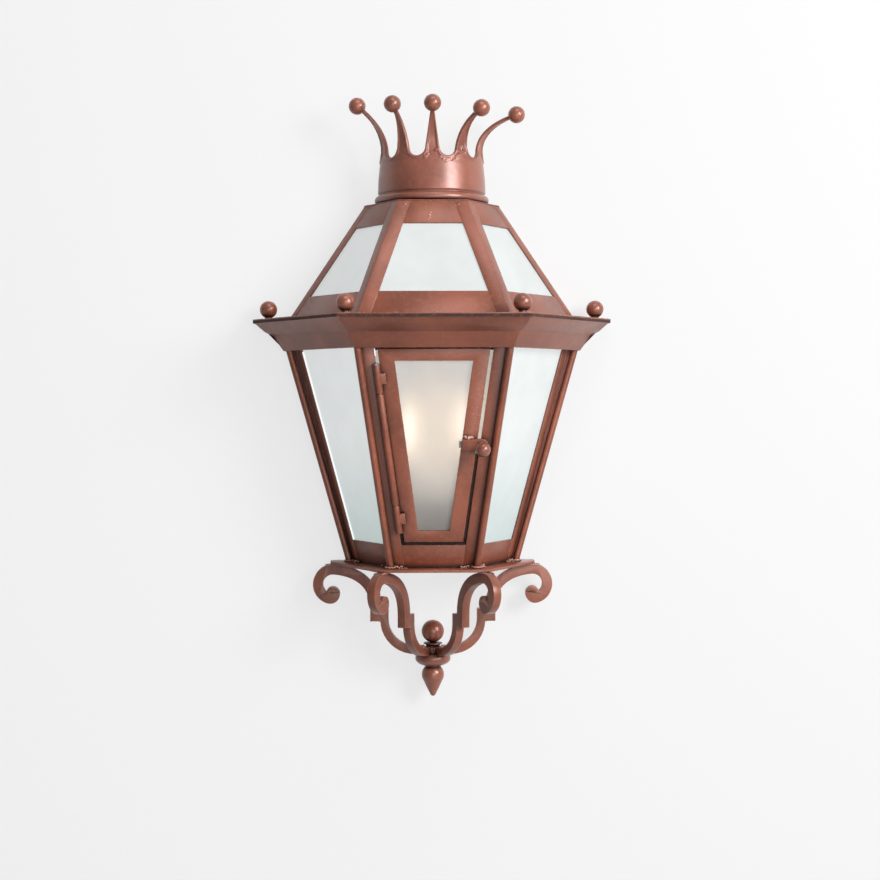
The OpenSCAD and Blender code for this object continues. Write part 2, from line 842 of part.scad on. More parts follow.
module door_glass_clips() {
    low = door_low + bottom_rail_h - door_glass_lap;
    high = door_high - top_rail_h + door_glass_lap;
    side_v = door_low + handle_up;
    side_x = door_x(side_v) - level_w(body, stile_w - door_glass_lap);
    color(steel)
        on_face(0, body)
            translate([0, 0, door_back]) {
                translate([0, low, 0]) glass_clip();
                translate([0, high, 0]) rotate([0, 0, 180]) glass_clip();
                translate([side_x, side_v, 0]) rotate([0, 0, 90 - corner_slant(body)]) glass_clip();
                translate([-side_x, side_v, 0]) rotate([0, 0, -90 + corner_slant(body)]) glass_clip();
            }
}

// Hinge: its axis runs along the left jamb's inner edge, in front of it
hinge_w = hinge_d / 2 + knuckle_clear;
hinge_top = (door_high - hinge_drop) / cos(corner_slant(body));
hinge_bottom = hinge_top - hinge_len;
tube_from = hinge_bottom + knuckle_len + knuckle_gap;
tube_to = hinge_top - knuckle_len - knuckle_gap;

// The hinge's own frame: Y along its axis, X across the door
module at_hinge() {
    on_face(0, body)
        translate([-clear_x(body, 0, post_leg), 0, hinge_w])
            rotate([0, 0, corner_slant(body)])
                children();
}

module along_hinge(from, to, d) {
    translate([0, from, 0])
        rotate([-90, 0, 0])
            cylinder(d = d, h = to - from);
}

module knuckle(from, to) {
    lug_z = door_proud - hinge_w;
    difference() {
        union() {
            along_hinge(from, to, hinge_d);
            translate([0, (from + to - lug_len) / 2, lug_z])
                cube([door_gap + lug_reach, lug_len, lug_h]);
        }
        along_hinge(from - past, to + past, pin_d + 2 * pin_play);
    }
}

module door_knuckles() {
    color(rust)
        at_hinge() {
            knuckle(hinge_bottom, hinge_bottom + knuckle_len);
            knuckle(hinge_top - knuckle_len, hinge_top);
        }
}

module hinge_tube() {
    color(rust)
        at_hinge()
            difference() {
                union() {
                    along_hinge(tube_from, tube_to, hinge_d);
                    for (y = [tube_from + lug_len, tube_to - 2 * lug_len])
                        translate([-hinge_d / 2, y, -hinge_w])
                            cube([hinge_d / 2 - pad_short, lug_len, hinge_w]);
                }
                along_hinge(tube_from - past, tube_to + past, pin_d + 2 * pin_play);
            }
}

module hinge_pin() {
    color(steel)
        at_hinge() {
            along_hinge(hinge_bottom, hinge_top + pin_head_h, pin_d);
            along_hinge(hinge_top, hinge_top + pin_head_h, pin_head_d);
        }
}

// Handle: a flat bar welded on the door's right stile, with a ball knob at its round end
handle_v = door_low + handle_up;
handle_from = door_x(handle_v) - level_w(body, stile_w);
handle_round_x = handle_from + handle_len - handle_h / 2;

module door_handle() {
    color(rust)
        on_face(0, body)
            translate([0, handle_v, door_proud])
                linear_extrude(handle_t) {
                    translate([handle_from, -handle_h / 2])
                        square([handle_len - handle_h / 2, handle_h]);
                    translate([handle_round_x, 0])
                        circle(d = handle_h);
                }
}

module door_knob() {
    color(rust)
        on_face(0, body)
            translate([handle_round_x, handle_v, door_proud + handle_t]) {
                cylinder(d = knob_neck_d, h = knob_out);
                translate([0, 0, knob_out])
                    sphere(d = knob_d);
            }
}

// Lamp
lamp_y = -axis_off - lamp_out;
lamp_deck = floor_z + lamp_bracket_h;
holder_h = sleeve_h - holder_sunk;

module lamp_bracket() {
    color(steel)
        translate([0, lamp_y, floor_z]) {
            translate([-lamp_bracket_l / 2, -lamp_bracket_w / 2, lamp_bracket_h - sheet_t])
                cube([lamp_bracket_l, lamp_bracket_w, sheet_t]);
            for (side = [-1, 1])
                translate([side * lamp_leg_x - sheet_t / 2, -lamp_bracket_w / 2, 0])
                    cube([sheet_t, lamp_bracket_w, lamp_bracket_h - sheet_t]);
        }
}

module candle_sleeve(side) {
    color(white_enamel)
        translate([side * lamp_x, lamp_y, lamp_deck])
            difference() {
                cylinder(d = sleeve_d, h = sleeve_h);
                translate([0, 0, -past])
                    cylinder(d = sleeve_d - 2 * sleeve_wall, h = sleeve_h + 2 * past);
            }
}

module lamp_holder(side) {
    color(white_enamel)
        translate([side * lamp_x, lamp_y, lamp_deck])
            difference() {
                cylinder(d = holder_d, h = holder_h);
                translate([0, 0, holder_h - lamp_cap_h])
                    cylinder(d = lamp_cap_d + 2 * lamp_cap_play, h = lamp_cap_h + past);
            }
}

// The bulb's glass is fullest below its middle and comes to a soft point
bulb_steps = 14;
bulb_lean = 0.75;
bulb_fullness = 0.75;
function bulb_r(s) = bulb_d / 2 * pow(sin(180 * pow(s, bulb_lean)), bulb_fullness);

module bulb(side) {
    neck_r = lamp_cap_d / 2;
    color(white_enamel)
        translate([side * lamp_x, lamp_y, lamp_deck + holder_h - lamp_cap_h])
            rotate_extrude()
                polygon(concat([[0, 0], [neck_r, 0], [neck_r, lamp_cap_h + bulb_collar]],
                    [for (k = [1:bulb_steps]) let (s = k / bulb_steps)
                        [k == bulb_steps ? 0 : max(neck_r + bulb_collar, bulb_r(s)),
                            lamp_cap_h + bulb_collar + bulb_h * s]]));
}

module terminal_block() {
    color(grey_plastic)
        translate([-terminal_w / 2, lamp_y - terminal_d / 2, lamp_deck])
            cube([terminal_w, terminal_d, terminal_h]);
}

module cable_grommet() {
    color(black_rubber)
        translate([0, 0, -cable_drop])
            rotate([90, 0, 0])
                difference() {
                    union() {
                        cylinder(d = cable_hole_d, h = panel_t);
                        translate([0, 0, panel_t])
                            cylinder(d = grommet_flange_d, h = grommet_flange_t);
                    }
                    translate([0, 0, -past])
                        cylinder(d = grommet_bore_d, h = panel_t + grommet_flange_t + 2 * past);
                }
}

back_panel();
bottom_plate();
left_of_middle() post_rear();  // post_left_rear
left_of_middle() post_front();  // post_left_front
post_front();  // post_right_front
post_rear();  // post_right_rear
corner_rod(-rear_az);  // rod_left_rear
corner_rod(-front_az);  // rod_left_front
corner_rod(front_az);  // rod_right_front
corner_rod(rear_az);  // rod_right_rear
apron(-side_az);  // apron_left
apron(0);  // apron_front
apron(side_az);  // apron_right
left_of_middle() cornice_side();  // cornice_left
cornice_front();
cornice_side();  // cornice_right
eaves_plate();
eaves_ball(-rear_az);  // eaves_ball_left_rear
eaves_ball(-front_az);  // eaves_ball_left_front
eaves_ball(front_az);  // eaves_ball_right_front
eaves_ball(rear_az);  // eaves_ball_right_rear
left_of_middle() hip_rear();  // hip_left_rear
left_of_middle() hip_front();  // hip_left_front
hip_front();  // hip_right_front
hip_rear();  // hip_right_rear
roof_bottom_band();
roof_top_band();
roof_cap();
crown();
crown_balls();
roof_glass(-side_az);  // roof_glass_left
roof_glass(0);  // roof_glass_front
roof_glass(side_az);  // roof_glass_right
side_glass(-side_az);  // side_glass_left
side_glass(side_az);  // side_glass_right
bracket(-rear_az);  // bracket_left_rear
bracket(-front_az);  // bracket_left_front
bracket(front_az);  // bracket_right_front
bracket(rear_az);  // bracket_right_rear
finial_ball();
finial_hub();
finial_drop();
door_frame();
door_glass();
door_glass_clips();
door_knuckles();
hinge_tube();
hinge_pin();
door_handle();
door_knob();
lamp_bracket();
lamp_holder(-1);  // lamp_holder_left
lamp_holder(1);  // lamp_holder_right
candle_sleeve(-1);  // candle_sleeve_left
candle_sleeve(1);  // candle_sleeve_right
bulb(-1);  // bulb_left
bulb(1);  // bulb_right
terminal_block();
cable_grommet();
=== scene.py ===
import math
import random

import bmesh
import bpy
from mathutils import Matrix, Vector, noise


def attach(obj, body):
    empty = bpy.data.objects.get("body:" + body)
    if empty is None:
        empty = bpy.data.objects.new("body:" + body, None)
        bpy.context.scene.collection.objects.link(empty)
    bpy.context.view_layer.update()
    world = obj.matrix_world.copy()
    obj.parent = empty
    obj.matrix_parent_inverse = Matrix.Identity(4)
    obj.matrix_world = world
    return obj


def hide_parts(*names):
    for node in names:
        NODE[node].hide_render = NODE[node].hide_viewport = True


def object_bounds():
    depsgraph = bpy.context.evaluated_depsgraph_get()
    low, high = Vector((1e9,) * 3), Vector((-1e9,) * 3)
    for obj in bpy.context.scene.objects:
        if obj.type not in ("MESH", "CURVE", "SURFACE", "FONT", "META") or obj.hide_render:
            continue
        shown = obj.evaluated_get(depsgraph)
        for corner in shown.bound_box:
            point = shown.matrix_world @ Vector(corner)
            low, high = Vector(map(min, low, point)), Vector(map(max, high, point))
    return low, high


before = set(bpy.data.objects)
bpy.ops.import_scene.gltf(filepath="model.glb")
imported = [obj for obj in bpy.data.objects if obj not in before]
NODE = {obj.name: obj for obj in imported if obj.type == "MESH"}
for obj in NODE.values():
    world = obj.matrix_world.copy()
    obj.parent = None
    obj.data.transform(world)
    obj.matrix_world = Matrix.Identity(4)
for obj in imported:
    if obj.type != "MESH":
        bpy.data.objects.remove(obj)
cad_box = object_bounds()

# The lantern's layout in the frame, in millimetres: the wall is Y = 0, Z is up
MM = 0.001
AXIS_Y = -25
PLATE_UNDER, FLOOR_Z = -161, -158
EAVES_UNDER, EAVES_TOP = 128.5, 130
CAP_UNDER, CROWN_FOOT = 265.5, 267
# Azimuths to the right of the front: of the rear corner, the front corner and the side face
REAR_AZ, FRONT_AZ, SIDE_AZ = 90, 30, 60
CORNERS = ((-REAR_AZ, "left_rear"), (-FRONT_AZ, "left_front"),
           (FRONT_AZ, "right_front"), (REAR_AZ, "right_rear"))
# A shell of the half hexagon is its corner radius and level at the foot and at the top
BODY = (95, FLOOR_Z, 171.5, EAVES_UNDER)
ROOF = (171.8, EAVES_TOP, 80.5, CAP_UNDER)
# A face's distance from the axis over its corner radius, and half its width over that distance
APOTHEM = math.cos(math.radians(30))
HALF_FACE = math.tan(math.radians(30))
UP = Vector((0, 0, 1))


def polar(az, radius, z):
    """A point at an azimuth to the right of the front, in metres."""
    a = math.radians(az)
    return Vector((radius * math.sin(a), AXIS_Y - radius * math.cos(a), z)) * MM


def outward(az):
    """A millimetre outward at an azimuth."""
    return polar(az, 1, 0) - polar(0, 0, 0)


def lean(shell):
    """How far a shell's faces lean outward from upright."""
    return math.atan((shell[2] - shell[0]) * APOTHEM / (shell[3] - shell[1]))


def face_frame(az, shell):
    """X across a face, Y up it and Z out of it, from the middle of its foot."""
    return (Matrix.Translation((0, AXIS_Y * MM, 0))
            @ Matrix.Rotation(math.radians(az), 4, "Z")
            @ Matrix.Translation((0, -shell[0] * APOTHEM * MM, shell[1] * MM))
            @ Matrix.Rotation(math.radians(90) + lean(shell), 4, "X"))


def on_face(az, shell, x, y, out):
    """A point by its place across a face, up it and out of it, in millimetres."""
    return face_frame(az, shell) @ (Vector((x, y, out)) * MM)


def face_normal(az, shell):
    return face_frame(az, shell).to_3x3() @ UP


def half_width(shell, y, strip):
    """Half a face's width at a distance up it, less a strip's leg."""
    return (shell[0] * APOTHEM + y * math.sin(lean(shell))) * HALF_FACE - strip


# Finishes

def linear(code):
    """An sRGB hex value as a linear colour."""
    parts = [int(code[i:i + 2], 16) / 255 for i in (1, 3, 5)]
    return [c / 12.92 if c <= 0.04045 else ((c + 0.055) / 1.055) ** 2.4 for c in parts] + [1.0]


def add(tree, kind, inputs=None, **settings):
    """Adds a node with its settings and links; an input is a value or another node's output."""
    made = tree.nodes.new(kind)
    for key, value in settings.items():
        setattr(made, key, value)
    for socket, value in (inputs or {}).items():
        if isinstance(value, bpy.types.NodeSocket):
            tree.links.new(value, made.inputs[socket])
        else:
            made.inputs[socket].default_value = value
    return made


def material(name):
    """A new material and its empty node tree."""
    made = bpy.data.materials.new(name)
    made.use_nodes = True
    made.node_tree.nodes.clear()
    return made, made.node_tree


def size(mm):
    """A texture's scale for features of this size."""
    return 1 / (mm * MM)


def grain(tree, place, mm, detail=2.0, roughness=0.5):
    """Noise from 0 to 1 with features of this size."""
    return add(tree, "ShaderNodeTexNoise", {
        "Vector": place, "Scale": size(mm), "Detail": detail, "Roughness": roughness}).outputs["Fac"]


def between(tree, value, low, high, to_low=0.0, to_high=1.0):
    """Eases from one level to another while a value goes from low to high."""
    return add(tree, "ShaderNodeMapRange", {
        "Value": value, "From Min": low, "From Max": high, "To Min": to_low, "To Max": to_high,
    }, interpolation_type="SMOOTHSTEP").outputs["Result"]


def blend(tree, share, a, b):
    """Mixes two colours, each a hex value or another node's output."""
    ends = {6: a, 7: b}
    return add(tree, "ShaderNodeMix", {
        0: share, **{k: linear(v) if isinstance(v, str) else v for k, v in ends.items()},
    }, data_type="RGBA").outputs[2]


def maths(tree, operation, *values):
    """The result of a maths operation on values or other nodes' outputs."""
    return add(tree, "ShaderNodeMath", dict(enumerate(values)), operation=operation).outputs[0]


def times(tree, a, b):
    return maths(tree, "MULTIPLY", a, b)


def plus(tree, a, b):
    return maths(tree, "ADD", a, b)


def object_place(tree):
    """The place in the lantern's frame, in metres."""
    return add(tree, "ShaderNodeTexCoord").outputs["Object"]


def bumped(tree, height, mm, under=None):
    """A normal for a relief of this depth, over another bumped normal if there is one."""
    inputs = {"Height": height, "Distance": mm * MM, "Strength": 1.0}
    if under is not None:
        inputs["Normal"] = under
    return add(tree, "ShaderNodeBump", inputs).outputs["Normal"]


def finished(made, tree, inputs):
    """Closes a material with a principled shader."""
    shader = add(tree, "ShaderNodeBsdfPrincipled", inputs)
    add(tree, "ShaderNodeOutputMaterial", {"Surface": shader.outputs["BSDF"]})
    return made


# The lacquer's colours where it is thin and pitted, the painted shade in its joints and creases, and the
# painted highlight on its edges
THIN, PITTED, SHADE_COLOUR, HIGHLIGHT_COLOUR = "#B5745A", "#552C22", "#1E0F0B", "#D9A48C"
# Sizes of its clouds, mottle, grit and flecks, the reach of the painted shade in creases and the width of the
# edges that carry the painted highlight, in millimetres
CLOUD_MM, MOTTLE_MM, GRIT_MM, FLECK_MM, SHADE_MM, EDGE_MM = 55, 6, 1.4, 2.6, 8, 1.2


def rust_lacquer(name, low, high, metallic, rough_low, rough_high, grit_mm, rub, coat=0.3, plain=0.25):
    """Copper-brown lacquer sprayed on steel and cast iron: satin over grit, cloudy in colour,
    darkened with painted shade in its joints and creases by ambient occlusion, and with painted
    highlights as bright specks along the edges. grit_mm is the grit's depth; the painted highlight's
    strength sets how bright the specks are, and plain how much of it an edge keeps between them."""
    made, tree = material(name)
    place = object_place(tree)
    clouds = grain(tree, place, CLOUD_MM, 3.0)
    mottle = grain(tree, place, MOTTLE_MM, 3.0, 0.6)
    grit = grain(tree, place, GRIT_MM, 2.0, 0.6)
    colour = blend(tree, between(tree, clouds, 0.35, 0.65), low, high)
    colour = blend(tree, times(tree, between(tree, mottle, 0.45, 0.75), 0.22), colour, THIN)
    colour = blend(tree, times(tree, between(tree, grit, 0.30, 0.46, 1.0, 0.0), 0.30), colour, PITTED)
    # Painted shade: ambient occlusion darkens the colour in joints, creases and under overhangs
    crevice_shade = add(tree, "ShaderNodeAmbientOcclusion", {"Distance": SHADE_MM * MM}, samples=6).outputs["AO"]
    colour = blend(tree, between(tree, crevice_shade, 0.38, 0.94, 0.94, 0.0), colour, SHADE_COLOUR)
    # An edge is where the rounded normal departs from the face's own
    rounded = add(tree, "ShaderNodeBevel", {"Radius": EDGE_MM * MM}, samples=4).outputs["Normal"]
    own = add(tree, "ShaderNodeNewGeometry").outputs["True Normal"]
    along = add(tree, "ShaderNodeVectorMath", {0: rounded, 1: own}, operation="DOT_PRODUCT").outputs["Value"]
    edge = between(tree, along, 0.82, 0.97, 1.0, 0.0)
    flecks = between(tree, grain(tree, place, FLECK_MM, 2.0, 0.7), 0.48, 0.60, plain, 1.0)
    specks = times(tree, edge, flecks)
    # Painted highlight: the edges are lightened in bright specks
    colour = blend(tree, times(tree, specks, rub), colour, HIGHLIGHT_COLOUR)
    normal = bumped(tree, grit, grit_mm)
    normal = bumped(tree, specks, 0.08, normal)
    rough = between(tree, mottle, 0.3, 0.7, rough_low, rough_high)
    return finished(made, tree, {
        "Base Color": colour, "Roughness": rough, "Metallic": metallic, "Normal": normal, "IOR": 1.5,
        "Coat Weight": coat, "Coat Roughness": 0.32})


def frosted_glass(name, clear, tint, milk, glow, foot, head, foot_light, head_light="#EDEFEF", spots=()):
    """Float glass sandblasted on its inner side: milky, it blurs whatever is behind it, and it
    glows with painted light that stands in for the light from inside, with one colour below the level foot and
    another above head.
    The bulbs' painted glows in it are spots of (x, z, half width, half height, colour), in millimetres."""
    made, tree = material(name)
    place = object_place(tree)
    cloud = grain(tree, place, 40, 2.0)
    colour = blend(tree, between(tree, cloud, 0.3, 0.7), tint, milk)
    frost = bumped(tree, grain(tree, place, 0.9, 2.0), 0.02)
    height = add(tree, "ShaderNodeSeparateXYZ", {0: place}).outputs["Z"]
    light = blend(tree, between(tree, height, foot * MM, head * MM), foot_light, head_light)
    for x, z, wide, high, colour_there in spots:
        there = add(tree, "ShaderNodeMapping", {
            "Vector": place, "Location": (-x / wide, 0, -z / high),
            "Scale": (1 / (wide * MM), 0, 1 / (high * MM))}).outputs["Vector"]
        away = add(tree, "ShaderNodeVectorMath", {0: there}, operation="LENGTH").outputs["Value"]
        light = blend(tree, between(tree, away, 0.15, 1.0, 1.0, 0.0), light, colour_there)
    return finished(made, tree, {
        "Base Color": colour, "Roughness": 0.42, "IOR": 1.46, "Normal": frost,
        "Transmission Weight": clear, "Emission Color": light, "Emission Strength": glow})


def shell_half(tree, height, shell):
    """A shell's half width at the wall, at this height."""
    return add(tree, "ShaderNodeMapRange", {
        "Value": height, "From Min": shell[1] * MM, "From Max": shell[3] * MM,
        "To Min": shell[0] * MM, "To Max": shell[2] * MM}).outputs["Result"]


def panel_enamel():
    """The wall panel: stoved white enamel inside the lantern, a little uneven like orange peel,
    and the lantern's own lacquer on its rim and rear."""
    made, tree = material("panel_enamel")
    place = object_place(tree)
    axes = add(tree, "ShaderNodeSeparateXYZ", {0: place}).outputs
    inner = maths(tree, "MINIMUM", shell_half(tree, axes["Z"], BODY), shell_half(tree, axes["Z"], ROOF))
    rim = maths(tree, "GREATER_THAN", maths(tree, "ABSOLUTE", axes["X"]), inner)
    own = add(tree, "ShaderNodeNewGeometry").outputs["True Normal"]
    facing = add(tree, "ShaderNodeSeparateXYZ", {0: own}).outputs["Y"]
    lacquered = maths(tree, "MAXIMUM", rim, maths(tree, "GREATER_THAN", facing, 0.5))
    white = blend(tree, between(tree, grain(tree, place, 50), 0.3, 0.7), "#E2E2DC", "#EDEDE8")
    brown = blend(tree, between(tree, grain(tree, place, 40, 3.0), 0.35, 0.65), "#6E3C2E", "#8A4C39")
    peel = bumped(tree, grain(tree, place, 3, 1.0), 0.03)
    return finished(made, tree, {
        "Base Color": blend(tree, lacquered, white, brown), "Roughness": 0.42, "Normal": peel, "IOR": 1.5})


def bare_steel():
    """Zinc-plated steel, rolled: grey, with fine lines along it."""
    made, tree = material("bare_steel")
    place = object_place(tree)
    along = add(tree, "ShaderNodeMapping", {"Vector": place, "Scale": (1.0, 1.0, 0.06)}).outputs["Vector"]
    lines = grain(tree, along, 0.5, 2.0)
    colour = blend(tree, lines, "#8E9094", "#B9BBBE")
    rough = between(tree, lines, 0.2, 0.8, 0.28, 0.42)
    return finished(made, tree, {
        "Base Color": colour, "Metallic": 1.0, "Roughness": rough, "Normal": bumped(tree, lines, 0.01)})


def moulded(name, low, high, roughness):
    """A moulded plastic or rubber: even, with a faint spark-eroded texture."""
    made, tree = material(name)
    place = object_place(tree)
    colour = blend(tree, between(tree, grain(tree, place, 18), 0.3, 0.7), low, high)
    skin = bumped(tree, grain(tree, place, 0.8), 0.015)
    return finished(made, tree, {"Base Color": colour, "Roughness": roughness, "Normal": skin})


def opal_bulb():
    """Opal glass, lit: white with a warm glow."""
    made, tree = material("opal_bulb")
    place = object_place(tree)
    colour = blend(tree, between(tree, grain(tree, place, 30), 0.3, 0.7), "#F6F2EA", "#FBF8F2")
    return finished(made, tree, {
        "Base Color": colour, "Roughness": 0.25,
        "Emission Color": linear("#FFE6CE"), "Emission Strength": 2.6})


def lacquer(kind, **look):
    return rust_lacquer("rust_lacquer" + kind, **look), "rust_lacquer"


def glass(kind, **look):
    return frosted_glass("frosted_" + kind, **look), "frosted_glass"


# Each finish is a material and the slot that it goes by
FINISH = {
    "rust": lacquer("", low="#7D412C", high="#945039", metallic=0.12, rough_low=0.36, rough_high=0.50,
                    grit_mm=0.07, rub=0.55),
    "bar": lacquer("_bar", low="#784230", high="#8F503B", metallic=0.12, rough_low=0.34, rough_high=0.46,
                   grit_mm=0.05, rub=0.55, coat=0.4, plain=0.6),
    # Painted shade: the lacquer in near-black, for the eaves plate's shade line and the strips behind the
    # door's gaps
    "dark": lacquer("_dark", low="#2A140F", high="#3A1D15", metallic=0.0, rough_low=0.70, rough_high=0.85,
                    grit_mm=0.10, rub=0.0, coat=0.0),
    "cast": lacquer("_cast", low="#824B3C", high="#9B5C4A", metallic=0.15, rough_low=0.33, rough_high=0.43,
                    grit_mm=0.02, rub=0.15, coat=0.5),
    "turned": lacquer("_turned", low="#824B3A", high="#995843", metallic=0.18, rough_low=0.30, rough_high=0.40,
                      grit_mm=0.015, rub=0.0, coat=0.5),
    # The weld finish is drawn lighter and pinker than the lacquer: a painted highlight on the rough welds,
    # grit and drips that wear it
    "weld": lacquer("_weld", low="#B67C69", high="#CF9685", metallic=0.15, rough_low=0.30, rough_high=0.44,
                    grit_mm=0.12, rub=0.5, coat=0.5),
    # The panes glow by emission: painted light for the bulbs' light through the glass, with painted glows of
    # the bulbs and a darker foot on the door's pane
    "glass": glass("glass", clear=0.25, tint="#868D8C", milk="#909695", glow=0.60,
                   foot=-150, head=10, foot_light="#C6D4D2"),
    "roof_glass": glass("roof_glass", clear=0.20, tint="#848A89", milk="#8E9392", glow=0.52,
                        foot=60, head=230, foot_light="#E9ECEC"),
    "door_glass": glass("door_glass", clear=0.38, tint="#86827D", milk="#908C86", glow=0.72,
                        foot=-122, head=-5, foot_light="#4A4644", head_light="#B7B5B3", spots=(
                            (4, -2, 66, 96, "#D6C8BA"),
                            (-26, 3, 24, 54, "#EBDAC6"), (35, 5, 24, 54, "#EBDAC6"),
                            (-28, 3, 13, 36, "#F6EEE2"), (35, 5, 13, 36, "#F6EEE2"))),
    "edge_glass": glass("glass_edge", clear=0.1, tint="#E8ECEB", milk="#F0F3F2", glow=0.75,
                        foot=-150, head=10, foot_light="#F6F8F8"),
    "enamel": (panel_enamel(), "white_enamel"),
    "steel": (bare_steel(), "bare_steel"),
    "plastic": (moulded("white_plastic", "#C6C6C0", "#D2D2CC", roughness=0.4), "white_plastic"),
    "bulb": (opal_bulb(), "opal_bulb"),
    "grey": (moulded("grey_plastic", "#7E8285", "#8E9295", roughness=0.5), "grey_plastic"),
    "rubber": (moulded("black_rubber", "#1B1B1B", "#262626", roughness=0.7), "black_rubber"),
}


# Making pieces

# Edges that turn by more degrees than this get eased and gritty
SHARP_TURN = 25


def linked(name, bm):
    """An object in the scene with this shape."""
    mesh = bpy.data.meshes.new(name)
    bm.to_mesh(mesh)
    bm.free()
    made = bpy.data.objects.new(name, mesh)
    bpy.context.scene.collection.objects.link(made)
    return made


def smoothed(mesh, sharp=35):
    """Shades a mesh smooth, but for edges that turn by more degrees than this."""
    mesh.shade_smooth()
    mesh.set_sharp_from_angle(angle=math.radians(sharp))


def piece(name, bm, finish, body="lantern", stands_for=(), sharp=35):
    """A piece of the visual model, on a body and in place of the CAD nodes that it stands for."""
    bmesh.ops.recalc_face_normals(bm, faces=bm.faces)
    made = linked(name, bm)
    smoothed(made.data, sharp)
    look, slot = FINISH[finish]
    made.data.materials.append(look)
    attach(made, body)
    if stands_for:
        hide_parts(*stands_for)


def cad_copy(node):
    """The shape of a CAD node with the triangles of each flat face joined again."""
    bm = bmesh.new()
    bm.from_mesh(NODE[node].data)
    bmesh.ops.remove_doubles(bm, verts=bm.verts, dist=0.002 * MM)
    bmesh.ops.dissolve_limit(bm, angle_limit=math.radians(0.4), verts=bm.verts, edges=bm.edges)
    return bm


def sharp_edges(bm):
    return [e for e in bm.edges if e.is_manifold and e.calc_face_angle() > math.radians(SHARP_TURN)]


def ease(bm, width, steps=2):
    """Rounds every sharp edge."""
    bmesh.ops.bevel(bm, geom=sharp_edges(bm), offset=width * MM, segments=steps, profile=0.5,
                    affect="EDGES", clamp_overlap=True)
    return bm


def lump(bm, at, radius, squash, normal, steps=2):
    """A small round lump, flattened along a normal."""
    turn = normal.to_track_quat("Z", "Y").to_matrix().to_4x4()
    place = Matrix.Translation(at) @ turn @ Matrix.Diagonal((1, 1, squash, 1))
    bmesh.ops.create_icosphere(bm, subdivisions=steps, radius=radius * MM, matrix=place)


def skin(bm, rings):
    """A closed form through rings with as many points each."""
    made = [[bm.verts.new(p) for p in ring] for ring in rings]
    count = len(made[0])
    for a, b in zip(made, made[1:]):
        for i in range(count):
            j = (i + 1) % count
            bm.faces.new((a[i], a[j], b[j], b[i]))
    bm.faces.new(reversed(made[0]))
    bm.faces.new(made[-1])


def heading(path, k):
    """The direction of a path at one of its points."""
    return (path[min(k + 1, len(path) - 1)] - path[max(k - 1, 0)]).normalized()


def sweep(bm, path, ring_at):
    """A bar along a path. ring_at(k) gives the ring's points as (across, upward) in millimetres."""
    up = UP if abs(heading(path, 0).z) < 0.9 else Vector((0, -1, 0))
    rings = []
    for k, point in enumerate(path):
        ahead = heading(path, k)
        up = (up - ahead * up.dot(ahead)).normalized()
        side = ahead.cross(up)
        rings.append([point + (side * u + up * v) * MM for u, v in ring_at(k)])
    skin(bm, rings)


def circle(radius, count, flat=1.0):
    """A ring for a sweep, flattened in height."""
    return [(radius * math.cos(2 * math.pi * i / count), flat * radius * math.sin(2 * math.pi * i / count))
            for i in range(count)]


WELD_STEP, WELD_FLAT, WELD_SIDES = 0.8, 0.8, 10


def weld(bm, path, radius, seed):
    """A hand-laid weld bead: a lumpy ripple along a line of points."""
    rng = random.Random(seed)
    steps = [max(1, round((b - a).length / MM / WELD_STEP)) for a, b in zip(path, path[1:])]
    line = [a.lerp(b, k / n) for a, b, n in zip(path, path[1:], steps) for k in range(n)] + [path[-1]]
    last = len(line) - 1
    phase = rng.uniform(0, 6)
    size_at = [radius * (0.4 + 0.6 * math.sqrt(math.sin(math.pi * (k + 0.4) / (last + 0.8))))
               * (1 + 0.16 * math.sin(k * 1.7 + phase) + rng.uniform(-0.14, 0.14)) for k in range(last + 1)]
    sweep(bm, line, lambda k: circle(size_at[k], WELD_SIDES, WELD_FLAT))


def welds(name, beads, body="lantern"):
    """One piece of several beads, each (path, radius)."""
    bm = bmesh.new()
    for k, (path, radius) in enumerate(beads):
        weld(bm, path, radius, name + str(k))
    piece(name, bm, "weld", body, sharp=60)


def turned(profile, at, steps, axis=UP):
    """A lathe-turned form: profile points are (radius, height) in millimetres, smoothly joined."""
    bm = bmesh.new()
    turn = axis.to_track_quat("Z", "Y").to_matrix()
    rings = [[at + turn @ Vector((max(r, 0.01) * math.cos(a), max(r, 0.01) * math.sin(a), z)) * MM
              for a in (2 * math.pi * i / steps for i in range(steps))] for r, z in profile]
    skin(bm, rings)
    bmesh.ops.remove_doubles(bm, verts=bm.verts, dist=0.02 * MM)
    return bm


def eased(points, per):
    """A smooth line through points given as (radius, height), with so many steps between two."""
    pts = [points[0]] + list(points) + [points[-1]]
    line = []
    for a, b, c, d in zip(pts, pts[1:], pts[2:], pts[3:]):
        for k in range(per):
            t = k / per
            line.append(tuple(
                0.5 * (2 * q + (r - p) * t + (2 * p - 5 * q + 4 * r - s) * t * t
                       + (3 * q - p - 3 * r + s) * t ** 3)
                for p, q, r, s in zip(a, b, c, d)))
    return line + [tuple(points[-1])]


def arc(radius, from_deg, to_deg, centre, count):
    """Part of a circle in a turned profile, angles from its equator."""
    return [(centre[0] + radius * math.cos(math.radians(from_deg + (to_deg - from_deg) * k / count)),
             centre[1] + radius * math.sin(math.radians(from_deg + (to_deg - from_deg) * k / count)))
            for k in range(count + 1)]


def inside_box(at, margin=1.2):
    """Whether a spot is well inside the lantern's outer box and off the wall."""
    return all(low + margin * MM < c < high - margin * MM for c, low, high in zip(at, *cad_box))


def face_spots(bm, count, rng):
    """Spots spread over a form's faces, each with its normal."""
    flat = bm.copy()
    bmesh.ops.triangulate(flat, faces=flat.faces)
    spots = []
    for face in rng.choices(list(flat.faces), [f.calc_area() for f in flat.faces], k=count):
        a, b, c = (v.co.copy() for v in face.verts)
        u, v = rng.random(), rng.random()
        if u + v > 1:
            u, v = 1 - u, 1 - v
        spots.append((a + (b - a) * u + (c - a) * v, face.normal.copy()))
    flat.free()
    return spots


